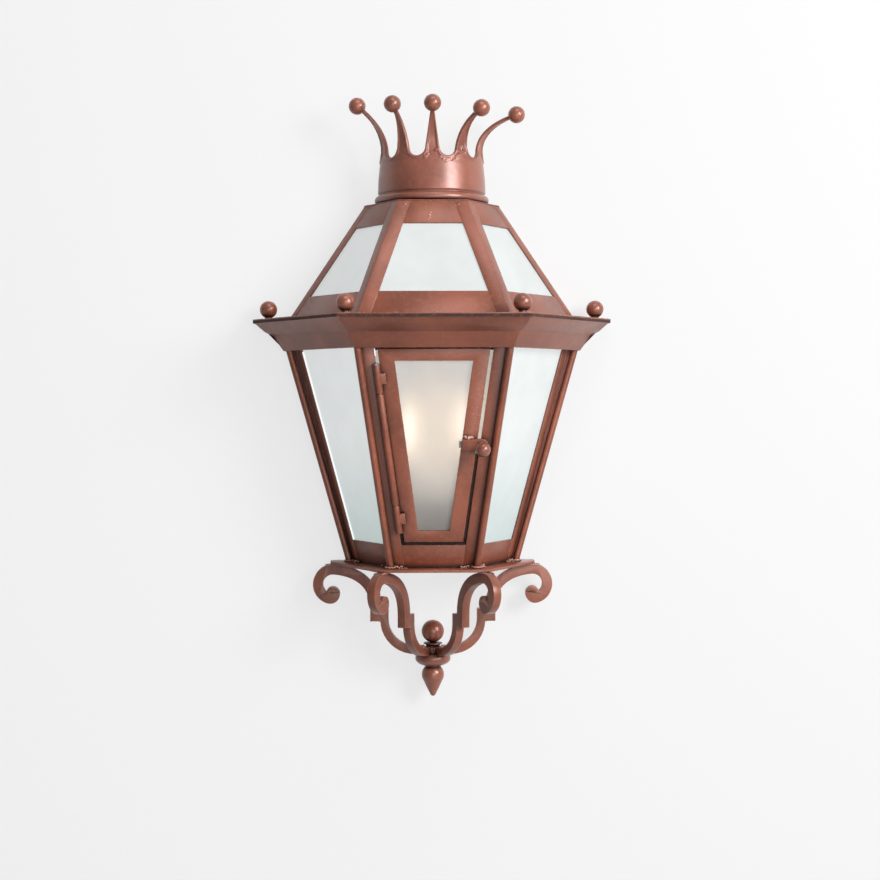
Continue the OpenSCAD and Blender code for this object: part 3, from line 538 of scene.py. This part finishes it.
def edge_spots(bm, spacing, rng):
    """Spots along a form's sharp edges, each with the outward direction there."""
    spots = []
    for edge in sharp_edges(bm):
        a, b = (v.co.copy() for v in edge.verts)
        out = sum((f.normal for f in edge.link_faces), Vector()).normalized()
        count = int((b - a).length / MM / spacing * rng.uniform(0.4, 1.6) + rng.random())
        spots += [(a.lerp(b, rng.random()) - out * 0.15 * MM, out) for _ in range(count)]
    return spots


# The eaves plate is drawn as a top layer, with painted highlights on its edges, over a near-black edge
# that is a painted shade line; the edge starts where the cornices end, a little under the plate
EDGE_FOOT, EDGE_HEAD = EAVES_UNDER - 1.2, EAVES_TOP + 0.6
LAYER_FOOT, LAYER_HEAD = EAVES_TOP + 0.4, EAVES_TOP + 1.8


def plate_levels(bm, foot, head):
    """Moves the eaves plate's underside and top to other levels."""
    for vert in bm.verts:
        vert.co.z = (head if vert.co.z > (EAVES_TOP - 0.5) * MM else foot) * MM


def worn(node, width, pimples, body="lantern", finish="rust", steps=2, spacing=9):
    """A CAD node's shape with eased edges, pimples of grit under the coat, and grit on its edges."""
    bm = cad_copy(node)
    rng = random.Random(node)
    if node.startswith("cornice"):
        for vert in bm.verts:
            vert.co.z = min(vert.co.z, EDGE_FOOT * MM)
    if node == "eaves_plate":
        plate_levels(bm, LAYER_FOOT, LAYER_HEAD)
    spots = [(at, out, rng.uniform(0.5, 1.0), 0.45) for at, out in face_spots(bm, pimples, rng)]
    spots += [(at, out, rng.uniform(0.3, 0.65), 0.7) for at, out in edge_spots(bm, spacing, rng)]
    ease(bm, width, steps)
    for at, out, radius, squash in spots:
        if inside_box(at):
            lump(bm, at, radius, squash, out, 1)
    piece(node + "_made", bm, finish, body, (node,))


def ball(bm, at, radius, seed):
    """A forged ball, a little uneven."""
    made = bmesh.ops.create_icosphere(bm, subdivisions=5, radius=radius * MM, matrix=Matrix.Translation(at))
    for vert in made["verts"]:
        out = (vert.co - at).normalized()
        vert.co = at + out * (radius + 0.12 * noise.noise(out * 1.7 + Vector((seed, 0, 0))) - 0.06) * MM


def remeshed(bm, voxel, rounds):
    """Fuses overlapping closed forms into one skin, then smooths it."""
    held = linked("rough", bm)
    rough = held.data
    grid = held.modifiers.new("grid", "REMESH")
    grid.mode, grid.voxel_size = "VOXEL", voxel * MM
    soft = held.modifiers.new("soft", "SMOOTH")
    soft.factor, soft.iterations = 0.5, rounds
    done = bpy.data.meshes.new_from_object(held.evaluated_get(bpy.context.evaluated_depsgraph_get()))
    out = bmesh.new()
    out.from_mesh(done)
    bpy.data.objects.remove(held)
    bpy.data.meshes.remove(rough)
    bpy.data.meshes.remove(done)
    return out


# Sheet-metal strips, plates and mouldings, each with its edges' eased width in millimetres, the
# number of its pimples and the mean distance between grit along its edges

for node, width, pimples, spacing in (
        [("post_" + corner, 0.4, 5, 9) for _, corner in CORNERS]
        + [("hip_" + corner, 0.4, 5, 10) for _, corner in CORNERS]
        + [("apron_" + side, 0.4, 6, 8) for side in ("left", "front", "right")]
        + [("cornice_" + side, 0.35, 8, 10) for side in ("left", "front", "right")]
        + [("eaves_plate", 0.3, 16, 3), ("roof_bottom_band", 0.35, 12, 9), ("roof_top_band", 0.35, 12, 9),
           ("roof_cap", 0.4, 3, 6), ("bottom_plate", 0.6, 14, 5)]):
    worn(node, width, pimples, spacing=spacing)

# The eaves plate's near-black edge, painted shade under the plate, a little inside the top layer's
EDGE_INSET = 0.25
bm = cad_copy("eaves_plate")
for vert in bm.verts:
    out = Vector((vert.co.x, vert.co.y - AXIS_Y * MM, 0))
    vert.co -= out.normalized() * EDGE_INSET * MM
plate_levels(bm, EDGE_FOOT, EDGE_HEAD)
piece("eaves_edge", bm, "dark")

# Chips and drips under the crown's foot, lighter by the weld finish's painted highlight
bm = bmesh.new()
for x, rise, radius in ((-31.3, 131, 1.5), (-29, 129, 1.0), (30, 131, 1.1), (-3.5, 118, 1.7),
                        (-3.2, 115, 1.3), (-5, 113, 0.9), (-2, 121, 1.0)):
    lump(bm, on_face(0, ROOF, x, rise / math.cos(lean(ROOF)), 0.1), radius, 0.5, face_normal(0, ROOF))
piece("roof_top_band_drips", bm, "weld")

# Corner rods with the welds at their feet

ROD_OFF, ROD_BEAD_R, BLOBS = 4.5, 4.9, 13
rng = random.Random("rod feet")
foot_half = half_width(BODY, 0, 0)
bm = bmesh.new()
for az, corner in CORNERS:
    rod = "rod_" + corner
    piece(rod + "_made", ease(cad_copy(rod), 0.3, 1), "rust", stands_for=(rod,))
    foot = polar(az, BODY[0] + ROD_OFF, FLOOR_Z)
    weld(bm, [foot + Vector((math.cos(a), math.sin(a), 0.25)) * ROD_BEAD_R * MM
              for a in (math.radians(30 * k + az) for k in range(13))], 2.0, corner)
    # Rough blobs of weld metal on the plate beside each rod, along both neighbouring faces
    for side in (-1, 1):
        face_az = max(-SIDE_AZ, min(SIDE_AZ, az + 30 * side))
        toward = 1 if az > face_az else -1
        for _ in range(BLOBS):
            x = toward * (foot_half - rng.uniform(1, 17))
            at = on_face(face_az, BODY, x, rng.uniform(0, 3.2), rng.uniform(0.5, 4.2))
            lump(bm, at, rng.uniform(1.0, 2.4), rng.uniform(0.6, 0.9), UP)
piece("feet_welds", bm, "weld", sharp=80)


def grit(name, lines, count, radius, body="lantern"):
    """Specks of grit under the coat, lighter by the weld finish's painted highlight, so many along each line
    of (start, end, spread, outward).
    """
    rng = random.Random(name)
    bm = bmesh.new()
    for start, end, spread, out in lines:
        across = (end - start).normalized().cross(out)
        for _ in range(count):
            at = start.lerp(end, rng.random()) + across * rng.uniform(-spread, spread) * MM
            if inside_box(at, 1.0):
                lump(bm, at, radius * rng.uniform(0.6, 1.3), 0.6, out, 1)
    piece(name, bm, "weld", body, sharp=80)


out_front = Vector((0, -1, 0.3)).normalized()
eaves_line = [polar(az, 211.8, EAVES_TOP + 1.3) for az in (-FRONT_AZ, FRONT_AZ)]
plate_line = [polar(az, 120.6, FLOOR_Z - 0.6) for az in (-FRONT_AZ, FRONT_AZ, REAR_AZ)]
grit("eaves_grit", [(*eaves_line, 0.6, out_front)], 170, 0.8)
grit("plate_grit", [(*plate_line[:2], 0.5, out_front), (*plate_line[1:], 0, outward(SIDE_AZ))], 60, 0.6)

# Balls on the eaves

EAVES_R, BALL_INSET, BALL_R, BALL_RISE = 214, 19, 10, 13.5
for az, corner in CORNERS:
    at = polar(az, EAVES_R - BALL_INSET, EAVES_TOP)
    bm = turned([(0, 0.0), (5.6, 0.0), (5.2, 0.8), (4.6, 1.3), (4.5, 3.0), (4.8, 5.5), (0, 6.0)], at, 32)
    ball(bm, at + Vector((0, 0, BALL_RISE)) * MM, BALL_R + 0.4, az)
    piece("eaves_ball_%s_made" % corner, bm, "turned", stands_for=("eaves_ball_" + corner,))

# Crown: a cast half ring whose prongs have raised rims round hollow fronts

PRONG_PITCH, VALLEY_Z, VALLEY_R, FLANK_ANGLE, TIP_HALF = 34.5, 52.4, 9.5, 9, 2.9
ROOT_R, BEND_RISE, PRONG_END = 59.5, 26, 8.0
# Each ball's distance from the axis and height over the crown's foot, from left to right
PRONG_BALLS = ((93.7, 112.6), (81.4, 110), (86, 108.4), (99, 103.2), (106, 102.1))
VALLEY_MID = VALLEY_Z + VALLEY_R
FLANK_Z = VALLEY_Z + VALLEY_R * (1 - math.sin(math.radians(FLANK_ANGLE)))
HALF_PITCH = ROOT_R * math.tan(math.radians(PRONG_PITCH / 2))
FLANK_HALF = HALF_PITCH - VALLEY_R * math.cos(math.radians(FLANK_ANGLE))


def prong_half(z):
    """Half a prong's width at a height over the crown's foot."""
    if z <= VALLEY_Z:
        return HALF_PITCH
    if z < FLANK_Z:
        return HALF_PITCH - math.sqrt(VALLEY_R ** 2 - (z - VALLEY_MID) ** 2)
    return max(TIP_HALF, FLANK_HALF - (z - FLANK_Z) * math.tan(math.radians(FLANK_ANGLE)))


def prong_line(seat):
    """The middle line of a prong as (radius, height), from inside the band to inside its ball."""
    root, bend, end = Vector((ROOT_R, FLANK_Z)), Vector((ROOT_R, FLANK_Z + BEND_RISE)), Vector(seat)
    end = end - (end - bend).normalized() * PRONG_END
    upright = [Vector((ROOT_R, 44 + k * 1.2)) for k in range(14)]
    steps = 36
    curve = [root * (1 - t) ** 2 + bend * 2 * t * (1 - t) + end * t * t
             for t in (k / steps for k in range(steps + 1))]
    return [p for p in upright if p.y < FLANK_Z - 0.5] + curve


# A prong's front and rear stand this far from its middle line; its rims rise at a share of its half width
PRONG_FRONT, PRONG_REAR, RIM_RISE, RIM_AT, RIM_WIDTH, HOLLOW = 2.1, 2.3, 1.9, 0.80, 0.17, 0.9


def prong_ring(half, depth):
    """A prong's section as (across, outward): rounded rims either side of a front hollowed by a share."""
    front = [(u, PRONG_FRONT + depth * (RIM_RISE * math.exp(-((abs(u) - RIM_AT) / RIM_WIDTH) ** 2) - HOLLOW))
             for u in [-0.95 + 0.1 * k for k in range(20)]]
    rear = [0.95 - 0.19 * k for k in range(11)]
    return ([(half * u, y * (1 - abs(u) ** 12)) for u, y in front]
            + [(half * u, -PRONG_REAR * (1 - abs(u) ** 8)) for u in rear])


def crown_at(az, radius, z):
    """A point by its height over the crown's foot."""
    return polar(az, radius, CROWN_FOOT + z)


def share(value):
    """A value held between 0 and 1."""
    return min(1, max(0, value))


# The band's section is a base bead, a groove and a wall that narrows upward
bead = [math.radians(a) for a in range(-75, 76, 15)]
band = ([(59.5, 0), (64, 0)] + [(63.2 + 4.8 * math.cos(a), 5.2 + 5.2 * math.sin(a)) for a in bead]
        + [(63.6, 10.6), (62.7, 11.4), (62.9, 12.4), (64.1, 13.4),
           (63.4, 30), (62.2, 44), (61.2, 50.5), (57, 50.5)])
bm = bmesh.new()
skin(bm, [[crown_at(-90 + 1.5 * k, radius, z) for radius, z in band] for k in range(121)])
for i, seat in enumerate(PRONG_BALLS):
    az = (i - 2) * PRONG_PITCH
    line = prong_line(seat)
    rings = []
    for k, point in enumerate(line):
        ahead = heading(line, k)
        out = Vector((ahead.y, -ahead.x))
        half = prong_half(point.y)
        # The hollow starts over the band and fades where the prong gets thin
        depth = share((point.y - 50) / 8) * share((half - TIP_HALF) / 3)
        rings.append([crown_at(az + math.degrees(x / (point + out * y).x), *(point + out * y))
                      for x, y in prong_ring(half, depth)])
    skin(bm, rings)

# Raised rims round the valleys between the prongs, of which the crown's ends have half a one each
RIM_R, RIM_OUT, RIM_THICK = VALLEY_R + 2.1, ROOT_R + 0.9, 2.25
for k in range(6):
    az = (k - 2.5) * PRONG_PITCH
    turns = [math.radians(-172 + 8 * j) for j in range(21)]
    path = [crown_at(az + math.degrees(RIM_R * math.cos(a) / ROOT_R), RIM_OUT,
                     VALLEY_MID + RIM_R * math.sin(a)) for a in turns]
    if k == 0:
        path = path[9:]
    if k == 5:
        path = path[:12]
    sweep(bm, path, lambda _: circle(RIM_THICK, 12))

# Runs of the casting under the valleys
for az, z, radius in ((12, 47.5, 2.6), (15, 46, 2.8), (18, 46.5, 2.4), (21, 47.8, 2.6),
                      (9, 50, 2.4), (24, 50, 2.2), (-8, 50.5, 2.6), (-5.5, 53.5, 2.0),
                      (4, 58, 2.0), (30, 57, 2.4), (37, 61, 2.2), (-31, 58, 2.0)):
    lump(bm, crown_at(az, 61.3, z), radius, 0.5, outward(az), 3)
piece("crown_made", remeshed(bm, 0.7, 4), "cast", stands_for=("crown",), sharp=80)

bm = bmesh.new()
for i, (radius, z) in enumerate(PRONG_BALLS):
    ball(bm, crown_at((i - 2) * PRONG_PITCH, radius, z), BALL_R, i)
piece("crown_balls_made", bm, "turned", stands_for=("crown_balls",))

# Door

worn("door_frame", 0.6, 14, "door", spacing=5)
worn("door_handle", 0.9, 2, "door", steps=3)
worn("door_knuckles", 0.5, 0, "door", spacing=6)
worn("hinge_tube", 0.5, 0, spacing=8)

# Distances across and up the front face: the handle's inner end, knob and middle line, the door's
# foot and head, the hinge's top and the top of the strip over the door
HANDLE_X, KNOB_X, HANDLE_Y = 31.5, 54.75, 148.3
DOOR_LOW, DOOR_HIGH, HINGE_TOP, LINTEL_TOP = 32.3, 258.55, 236, 292
# Widths of a jamb's and a hip's leg and of the gap beside the door, and a rebate strip's reach past a gap
JAMB_LEG, HIP_LEG, DOOR_GAP, REACH_OVER = 14.1, 12, 4, 2.5
face_out = face_normal(0, BODY)


def jamb_x(y):
    """Half width between the jambs at a distance up the front face."""
    return half_width(BODY, y, JAMB_LEG)


def front_point(x, y, out):
    """A point on or before the front face."""
    return on_face(0, BODY, x, y, out)


def slab(bm, az, shell, corners, rear, front):
    """A plate on a face between two distances out of it."""
    skin(bm, [[on_face(az, shell, x, y, out) for x, y in corners] for out in (rear, front)])


# Narrow rebate strips behind the gaps over and under the door, low on the right and beside the hinge, in
# near-black lacquer: painted shade that darkens the gaps
INWARD = DOOR_GAP + REACH_OVER
RIGHT_TOP = HANDLE_Y - 12
bm = bmesh.new()
for corners in (
        [(-jamb_x(DOOR_HIGH), DOOR_HIGH - REACH_OVER), (jamb_x(DOOR_HIGH), DOOR_HIGH - REACH_OVER),
         (jamb_x(LINTEL_TOP), LINTEL_TOP), (-jamb_x(LINTEL_TOP), LINTEL_TOP)],
        [(-jamb_x(DOOR_LOW), DOOR_LOW - 8), (jamb_x(DOOR_LOW), DOOR_LOW - 8),
         (jamb_x(DOOR_LOW), DOOR_LOW + REACH_OVER), (-jamb_x(DOOR_LOW), DOOR_LOW + REACH_OVER)],
        [(jamb_x(DOOR_LOW) - INWARD, DOOR_LOW - 3), (jamb_x(DOOR_LOW) + REACH_OVER, DOOR_LOW - 3),
         (jamb_x(RIGHT_TOP) + REACH_OVER, RIGHT_TOP), (jamb_x(RIGHT_TOP) - INWARD, RIGHT_TOP)],
        [(-jamb_x(DOOR_LOW) - REACH_OVER, DOOR_LOW - 3), (INWARD - jamb_x(DOOR_LOW), DOOR_LOW - 3),
         (INWARD - jamb_x(HINGE_TOP), HINGE_TOP), (-jamb_x(HINGE_TOP) - REACH_OVER, HINGE_TOP)]):
    slab(bm, 0, BODY, corners, -3.2, -2.3)
piece("door_rebate", bm, "dark")
stile = [front_point(jamb_x(y) - 10, y, 2.6) for y in (165, 245)]
rail = [front_point(x, 251, 2.6) for x in (-52, 45)]
grit("door_grit", [(*stile, 5, face_out), (*rail, 5, face_out)], 70, 0.42, "door")

KNOB_R, KNOB_RISE = 8.5, 19
bm = turned(eased([(0, 0), (4.6, 0), (4.2, 1.2), (3.5, 3), (3.4, 9), (3.8, 11)], 3)
            + arc(KNOB_R, -65, 90, (0, KNOB_RISE), 24), front_point(KNOB_X, HANDLE_Y, 7.5), 40, face_out)
piece("door_knob_made", bm, "turned", "door", ("door_knob",))
over = [front_point(HANDLE_X + 2 + k, HANDLE_Y + 7.9 + 0.6 * math.sin(k), 4.0) for k in range(12)]
under = [front_point(HANDLE_X + 1 + k, HANDLE_Y - 7.1, 3.0) for k in range(0, 14, 2)]
welds("handle_weld", [(over, 3.2), (under, 0.9)], "door")

# The stub of a bent clip at the handle's inner end
bm = bmesh.new()
stub = [(HANDLE_X + x, HANDLE_Y + y) for x, y in ((-3.2, -3.6), (0.4, -3.6), (0.4, 3.8), (-3.2, 3.8))]
slab(bm, 0, BODY, stub, 2.6, 5.2)
piece("handle_stub", ease(bm, 0.5), "grey", "door")

# Painted light: glowing strips at the left panes' edges beside the post and the hip, and a short one at the
# door's upper left
EDGE_W = 1.1
bm = bmesh.new()
for az, shell, low, high, leg in ((-SIDE_AZ, BODY, 28, 257, JAMB_LEG),
                                  (0, BODY, 250, 258, JAMB_LEG),
                                  (-SIDE_AZ, ROOF, 34, 146, HIP_LEG)):
    foot, head = half_width(shell, low, leg), half_width(shell, high, leg)
    edge = [(-foot, low), (EDGE_W - foot, low), (EDGE_W - head, high), (-head, high)]
    slab(bm, az, shell, edge, -1.6, -0.3)
piece("pane_edges", bm, "edge_glass")

# Scroll brackets with their welds

# Distances from the axis of a bracket's top, of its two bars' lap and of the hub's side
SCROLL_R, LAP_R, HUB_R = 119.5, 63, 11.5
LAP_TOP, LAP_FOOT, HUB_FOOT, BAR_W = -214.5, -229.5, -268.2, 10
beads = []
for az, corner in CORNERS:
    worn("bracket_" + corner, 0.8, 5, finish="bar", steps=3, spacing=14)
    along = outward(az + 90)
    for side in (-1, 1):
        shift = along * side * BAR_W / 2
        under_plate = [polar(az, SCROLL_R - 9 + 3 * k, PLATE_UNDER - 0.4 - abs(3 - k) * 0.15) + shift
                       for k in range(7)]
        beads.append((under_plate, 1.1))
    for radius, z in ((LAP_R - 0.5, LAP_TOP + 0.3), (LAP_R + 0.5, LAP_FOOT - 0.3)):
        beads.append(([polar(az, radius, z) + along * BAR_W * (k / 6 - 0.5) for k in range(7)], 1.0))
    for side in (-1, 1):
        shift = along * side * BAR_W * 0.52
        beads.append(([polar(az, HUB_R, HUB_FOOT + 1.6 * k) + shift for k in range(6)], 1.0))
welds("bracket_welds", beads)

# Finial

DISC_TOP, FINIAL_BALL_Z, FINIAL_BALL_R = -269.4, -241.9, 13.5
middle = Vector((0, AXIS_Y, 0)) * MM
disc_top = middle + Vector((0, 0, DISC_TOP)) * MM
neck = eased([(7.8, 0), (8.0, 1.0), (7.6, 5), (7.9, 9), (9.2, 11.9)], 3)
washer = [(9.6, 12.0), (10.9, 12.3), (11.4, 12.9), (11.2, 13.6), (10.2, 14.1), (9.0, 14.3), (0, 14.4)]
piece("finial_hub_made", turned([(0, 0)] + neck + washer, disc_top, 48), "cast", stands_for=("finial_hub",))
bm = bmesh.new()
ball(bm, middle + Vector((0, 0, FINIAL_BALL_Z)) * MM, FINIAL_BALL_R, 9)
piece("finial_ball_made", bm, "turned", stands_for=("finial_ball",))
bowl = eased([(18.9, 1.1), (20.4, -1.4), (21.1, -4.8), (20.4, -7.8), (17.8, -10.6), (13.6, -12.8),
              (9.9, -13.8), (9.0, -14.6), (9.9, -15.6), (11.6, -18.0), (12.9, -21.2), (13.3, -24.6),
              (13.1, -27.6), (12.3, -30.0)], 4)
cone = [(12.0, -30.4), (7.6, -40.0), (3.2, -48.6)]
tip = eased([(2.6, -49.6), (1.6, -50.4), (0, -50.6)], 3)
drop = turned([(0, 1.6), (17.8, 1.6)] + bowl + cone + tip, disc_top, 64)
piece("finial_drop_made", drop, "turned", stands_for=("finial_drop",), sharp=50)

# CAD nodes that keep their own shape and get a finish

for finish, nodes in (
        ("roof_glass", ("roof_glass_left", "roof_glass_front", "roof_glass_right")),
        ("glass", ("side_glass_left", "side_glass_right")),
        ("door_glass", ("door_glass",)),
        ("enamel", ("back_panel",)),
        ("steel", ("door_glass_clips", "hinge_pin", "lamp_bracket")),
        ("plastic", ("lamp_holder_left", "lamp_holder_right", "candle_sleeve_left", "candle_sleeve_right")),
        ("bulb", ("bulb_left", "bulb_right")),
        ("grey", ("terminal_block",)),
        ("rubber", ("cable_grommet",))):
    for node in nodes:
        smoothed(NODE[node].data)
        for slot in NODE[node].material_slots:
            slot.material = FINISH[finish][0]

# Wall, floor, light and camera

# How much of their brightness the wall and the air show in reflections
WALL_GLOSS, AIR_GLOSS = 0.4, 0.35


def backdrop(name, corners, colour, glow):
    """A pale surface that shows its own brightness and keeps a soft shadow. It is clear from behind
    and lets the lamps through."""
    bm = bmesh.new()
    bm.faces.new([bm.verts.new(c) for c in corners])
    made = linked(name, bm)
    look, tree = material(name)
    path = add(tree, "ShaderNodeLightPath").outputs
    seen = plus(tree, path["Is Camera Ray"], path["Is Transmission Ray"])
    shown = plus(tree, seen, times(tree, path["Is Glossy Ray"], WALL_GLOSS))
    spread = blend(tree, path["Is Diffuse Ray"], colour, "#9A9A9A")
    matt = add(tree, "ShaderNodeBsdfDiffuse", {"Color": spread}).outputs[0]
    lit = add(tree, "ShaderNodeEmission", {"Color": linear(colour), "Strength": 1.0}).outputs[0]
    front = add(tree, "ShaderNodeMixShader", {0: times(tree, shown, glow), 1: matt, 2: lit}).outputs[0]
    clear = add(tree, "ShaderNodeBsdfTransparent").outputs[0]
    back = add(tree, "ShaderNodeNewGeometry").outputs["Backfacing"]
    passed = maths(tree, "MAXIMUM", back, path["Is Shadow Ray"])
    both = add(tree, "ShaderNodeMixShader", {0: passed, 1: front, 2: clear}).outputs[0]
    add(tree, "ShaderNodeOutputMaterial", {"Surface": both})
    made.data.materials.append(look)


WALL_Y, GROUND_Z, REACH = 0.0006, -0.95, 4.0
backdrop("wall", [(-REACH, WALL_Y, GROUND_Z), (REACH, WALL_Y, GROUND_Z),
                  (REACH, WALL_Y, REACH), (-REACH, WALL_Y, REACH)], "#F4F4F4", 0.80)
backdrop("ground", [(-REACH, -REACH, GROUND_Z), (REACH, -REACH, GROUND_Z),
                    (REACH, WALL_Y, GROUND_Z), (-REACH, WALL_Y, GROUND_Z)], "#F2F2F1", 0.88)

world = bpy.data.worlds.new("studio")
bpy.context.scene.world = world
world.use_nodes = True
sky = world.node_tree
sky.nodes.clear()
path = add(sky, "ShaderNodeLightPath").outputs
seen = plus(sky, path["Is Camera Ray"], times(sky, path["Is Glossy Ray"], AIR_GLOSS))
shown = plus(sky, seen, path["Is Transmission Ray"])
level = between(sky, shown, 0.0, 1.0, 0.15, 0.95)
air = add(sky, "ShaderNodeBackground", {"Color": linear("#F4F4F4"), "Strength": level})
add(sky, "ShaderNodeOutputWorld", {"Surface": air.outputs[0]})


def softbox(name, azimuth, elevation, distance, width, height, power):
    """A white studio light that looks at the lantern's middle: angles in degrees, sizes in metres
    and power in watts."""
    light = bpy.data.lights.new(name, "AREA")
    light.shape = "RECTANGLE"
    light.size, light.size_y = width, height
    light.energy = power
    made = bpy.data.objects.new(name, light)
    a, e = math.radians(azimuth), math.radians(elevation)
    aim = Vector((0, -0.08, 0.05))
    way = Vector((math.sin(a) * math.cos(e), -math.cos(a) * math.cos(e), math.sin(e)))
    made.location = aim + distance * way
    made.rotation_euler = (aim - made.location).to_track_quat("-Z", "Y").to_euler()
    bpy.context.scene.collection.objects.link(made)


softbox("key_light", 44, 17, 2.4, 0.9, 0.9, 53)
softbox("front_light", 12, -2, 2.8, 1.4, 1.0, 19)
softbox("top_light", 12, 62, 2.4, 1.2, 0.9, 15)
softbox("rear_light", 180, 15, 2.6, 1.4, 1.4, 24)

lens = bpy.data.cameras.new("camera")
lens.lens, lens.sensor_width = 71.3, 36
camera = bpy.data.objects.new("camera", lens)
camera.location = (-0.030, -2.111, 0.045)
camera.rotation_euler = (math.radians(90 - 1.58), math.radians(0.14), math.radians(-1.08))
bpy.context.scene.collection.objects.link(camera)
bpy.context.scene.camera = camera
bpy.context.scene.view_settings.view_transform = "Standard"
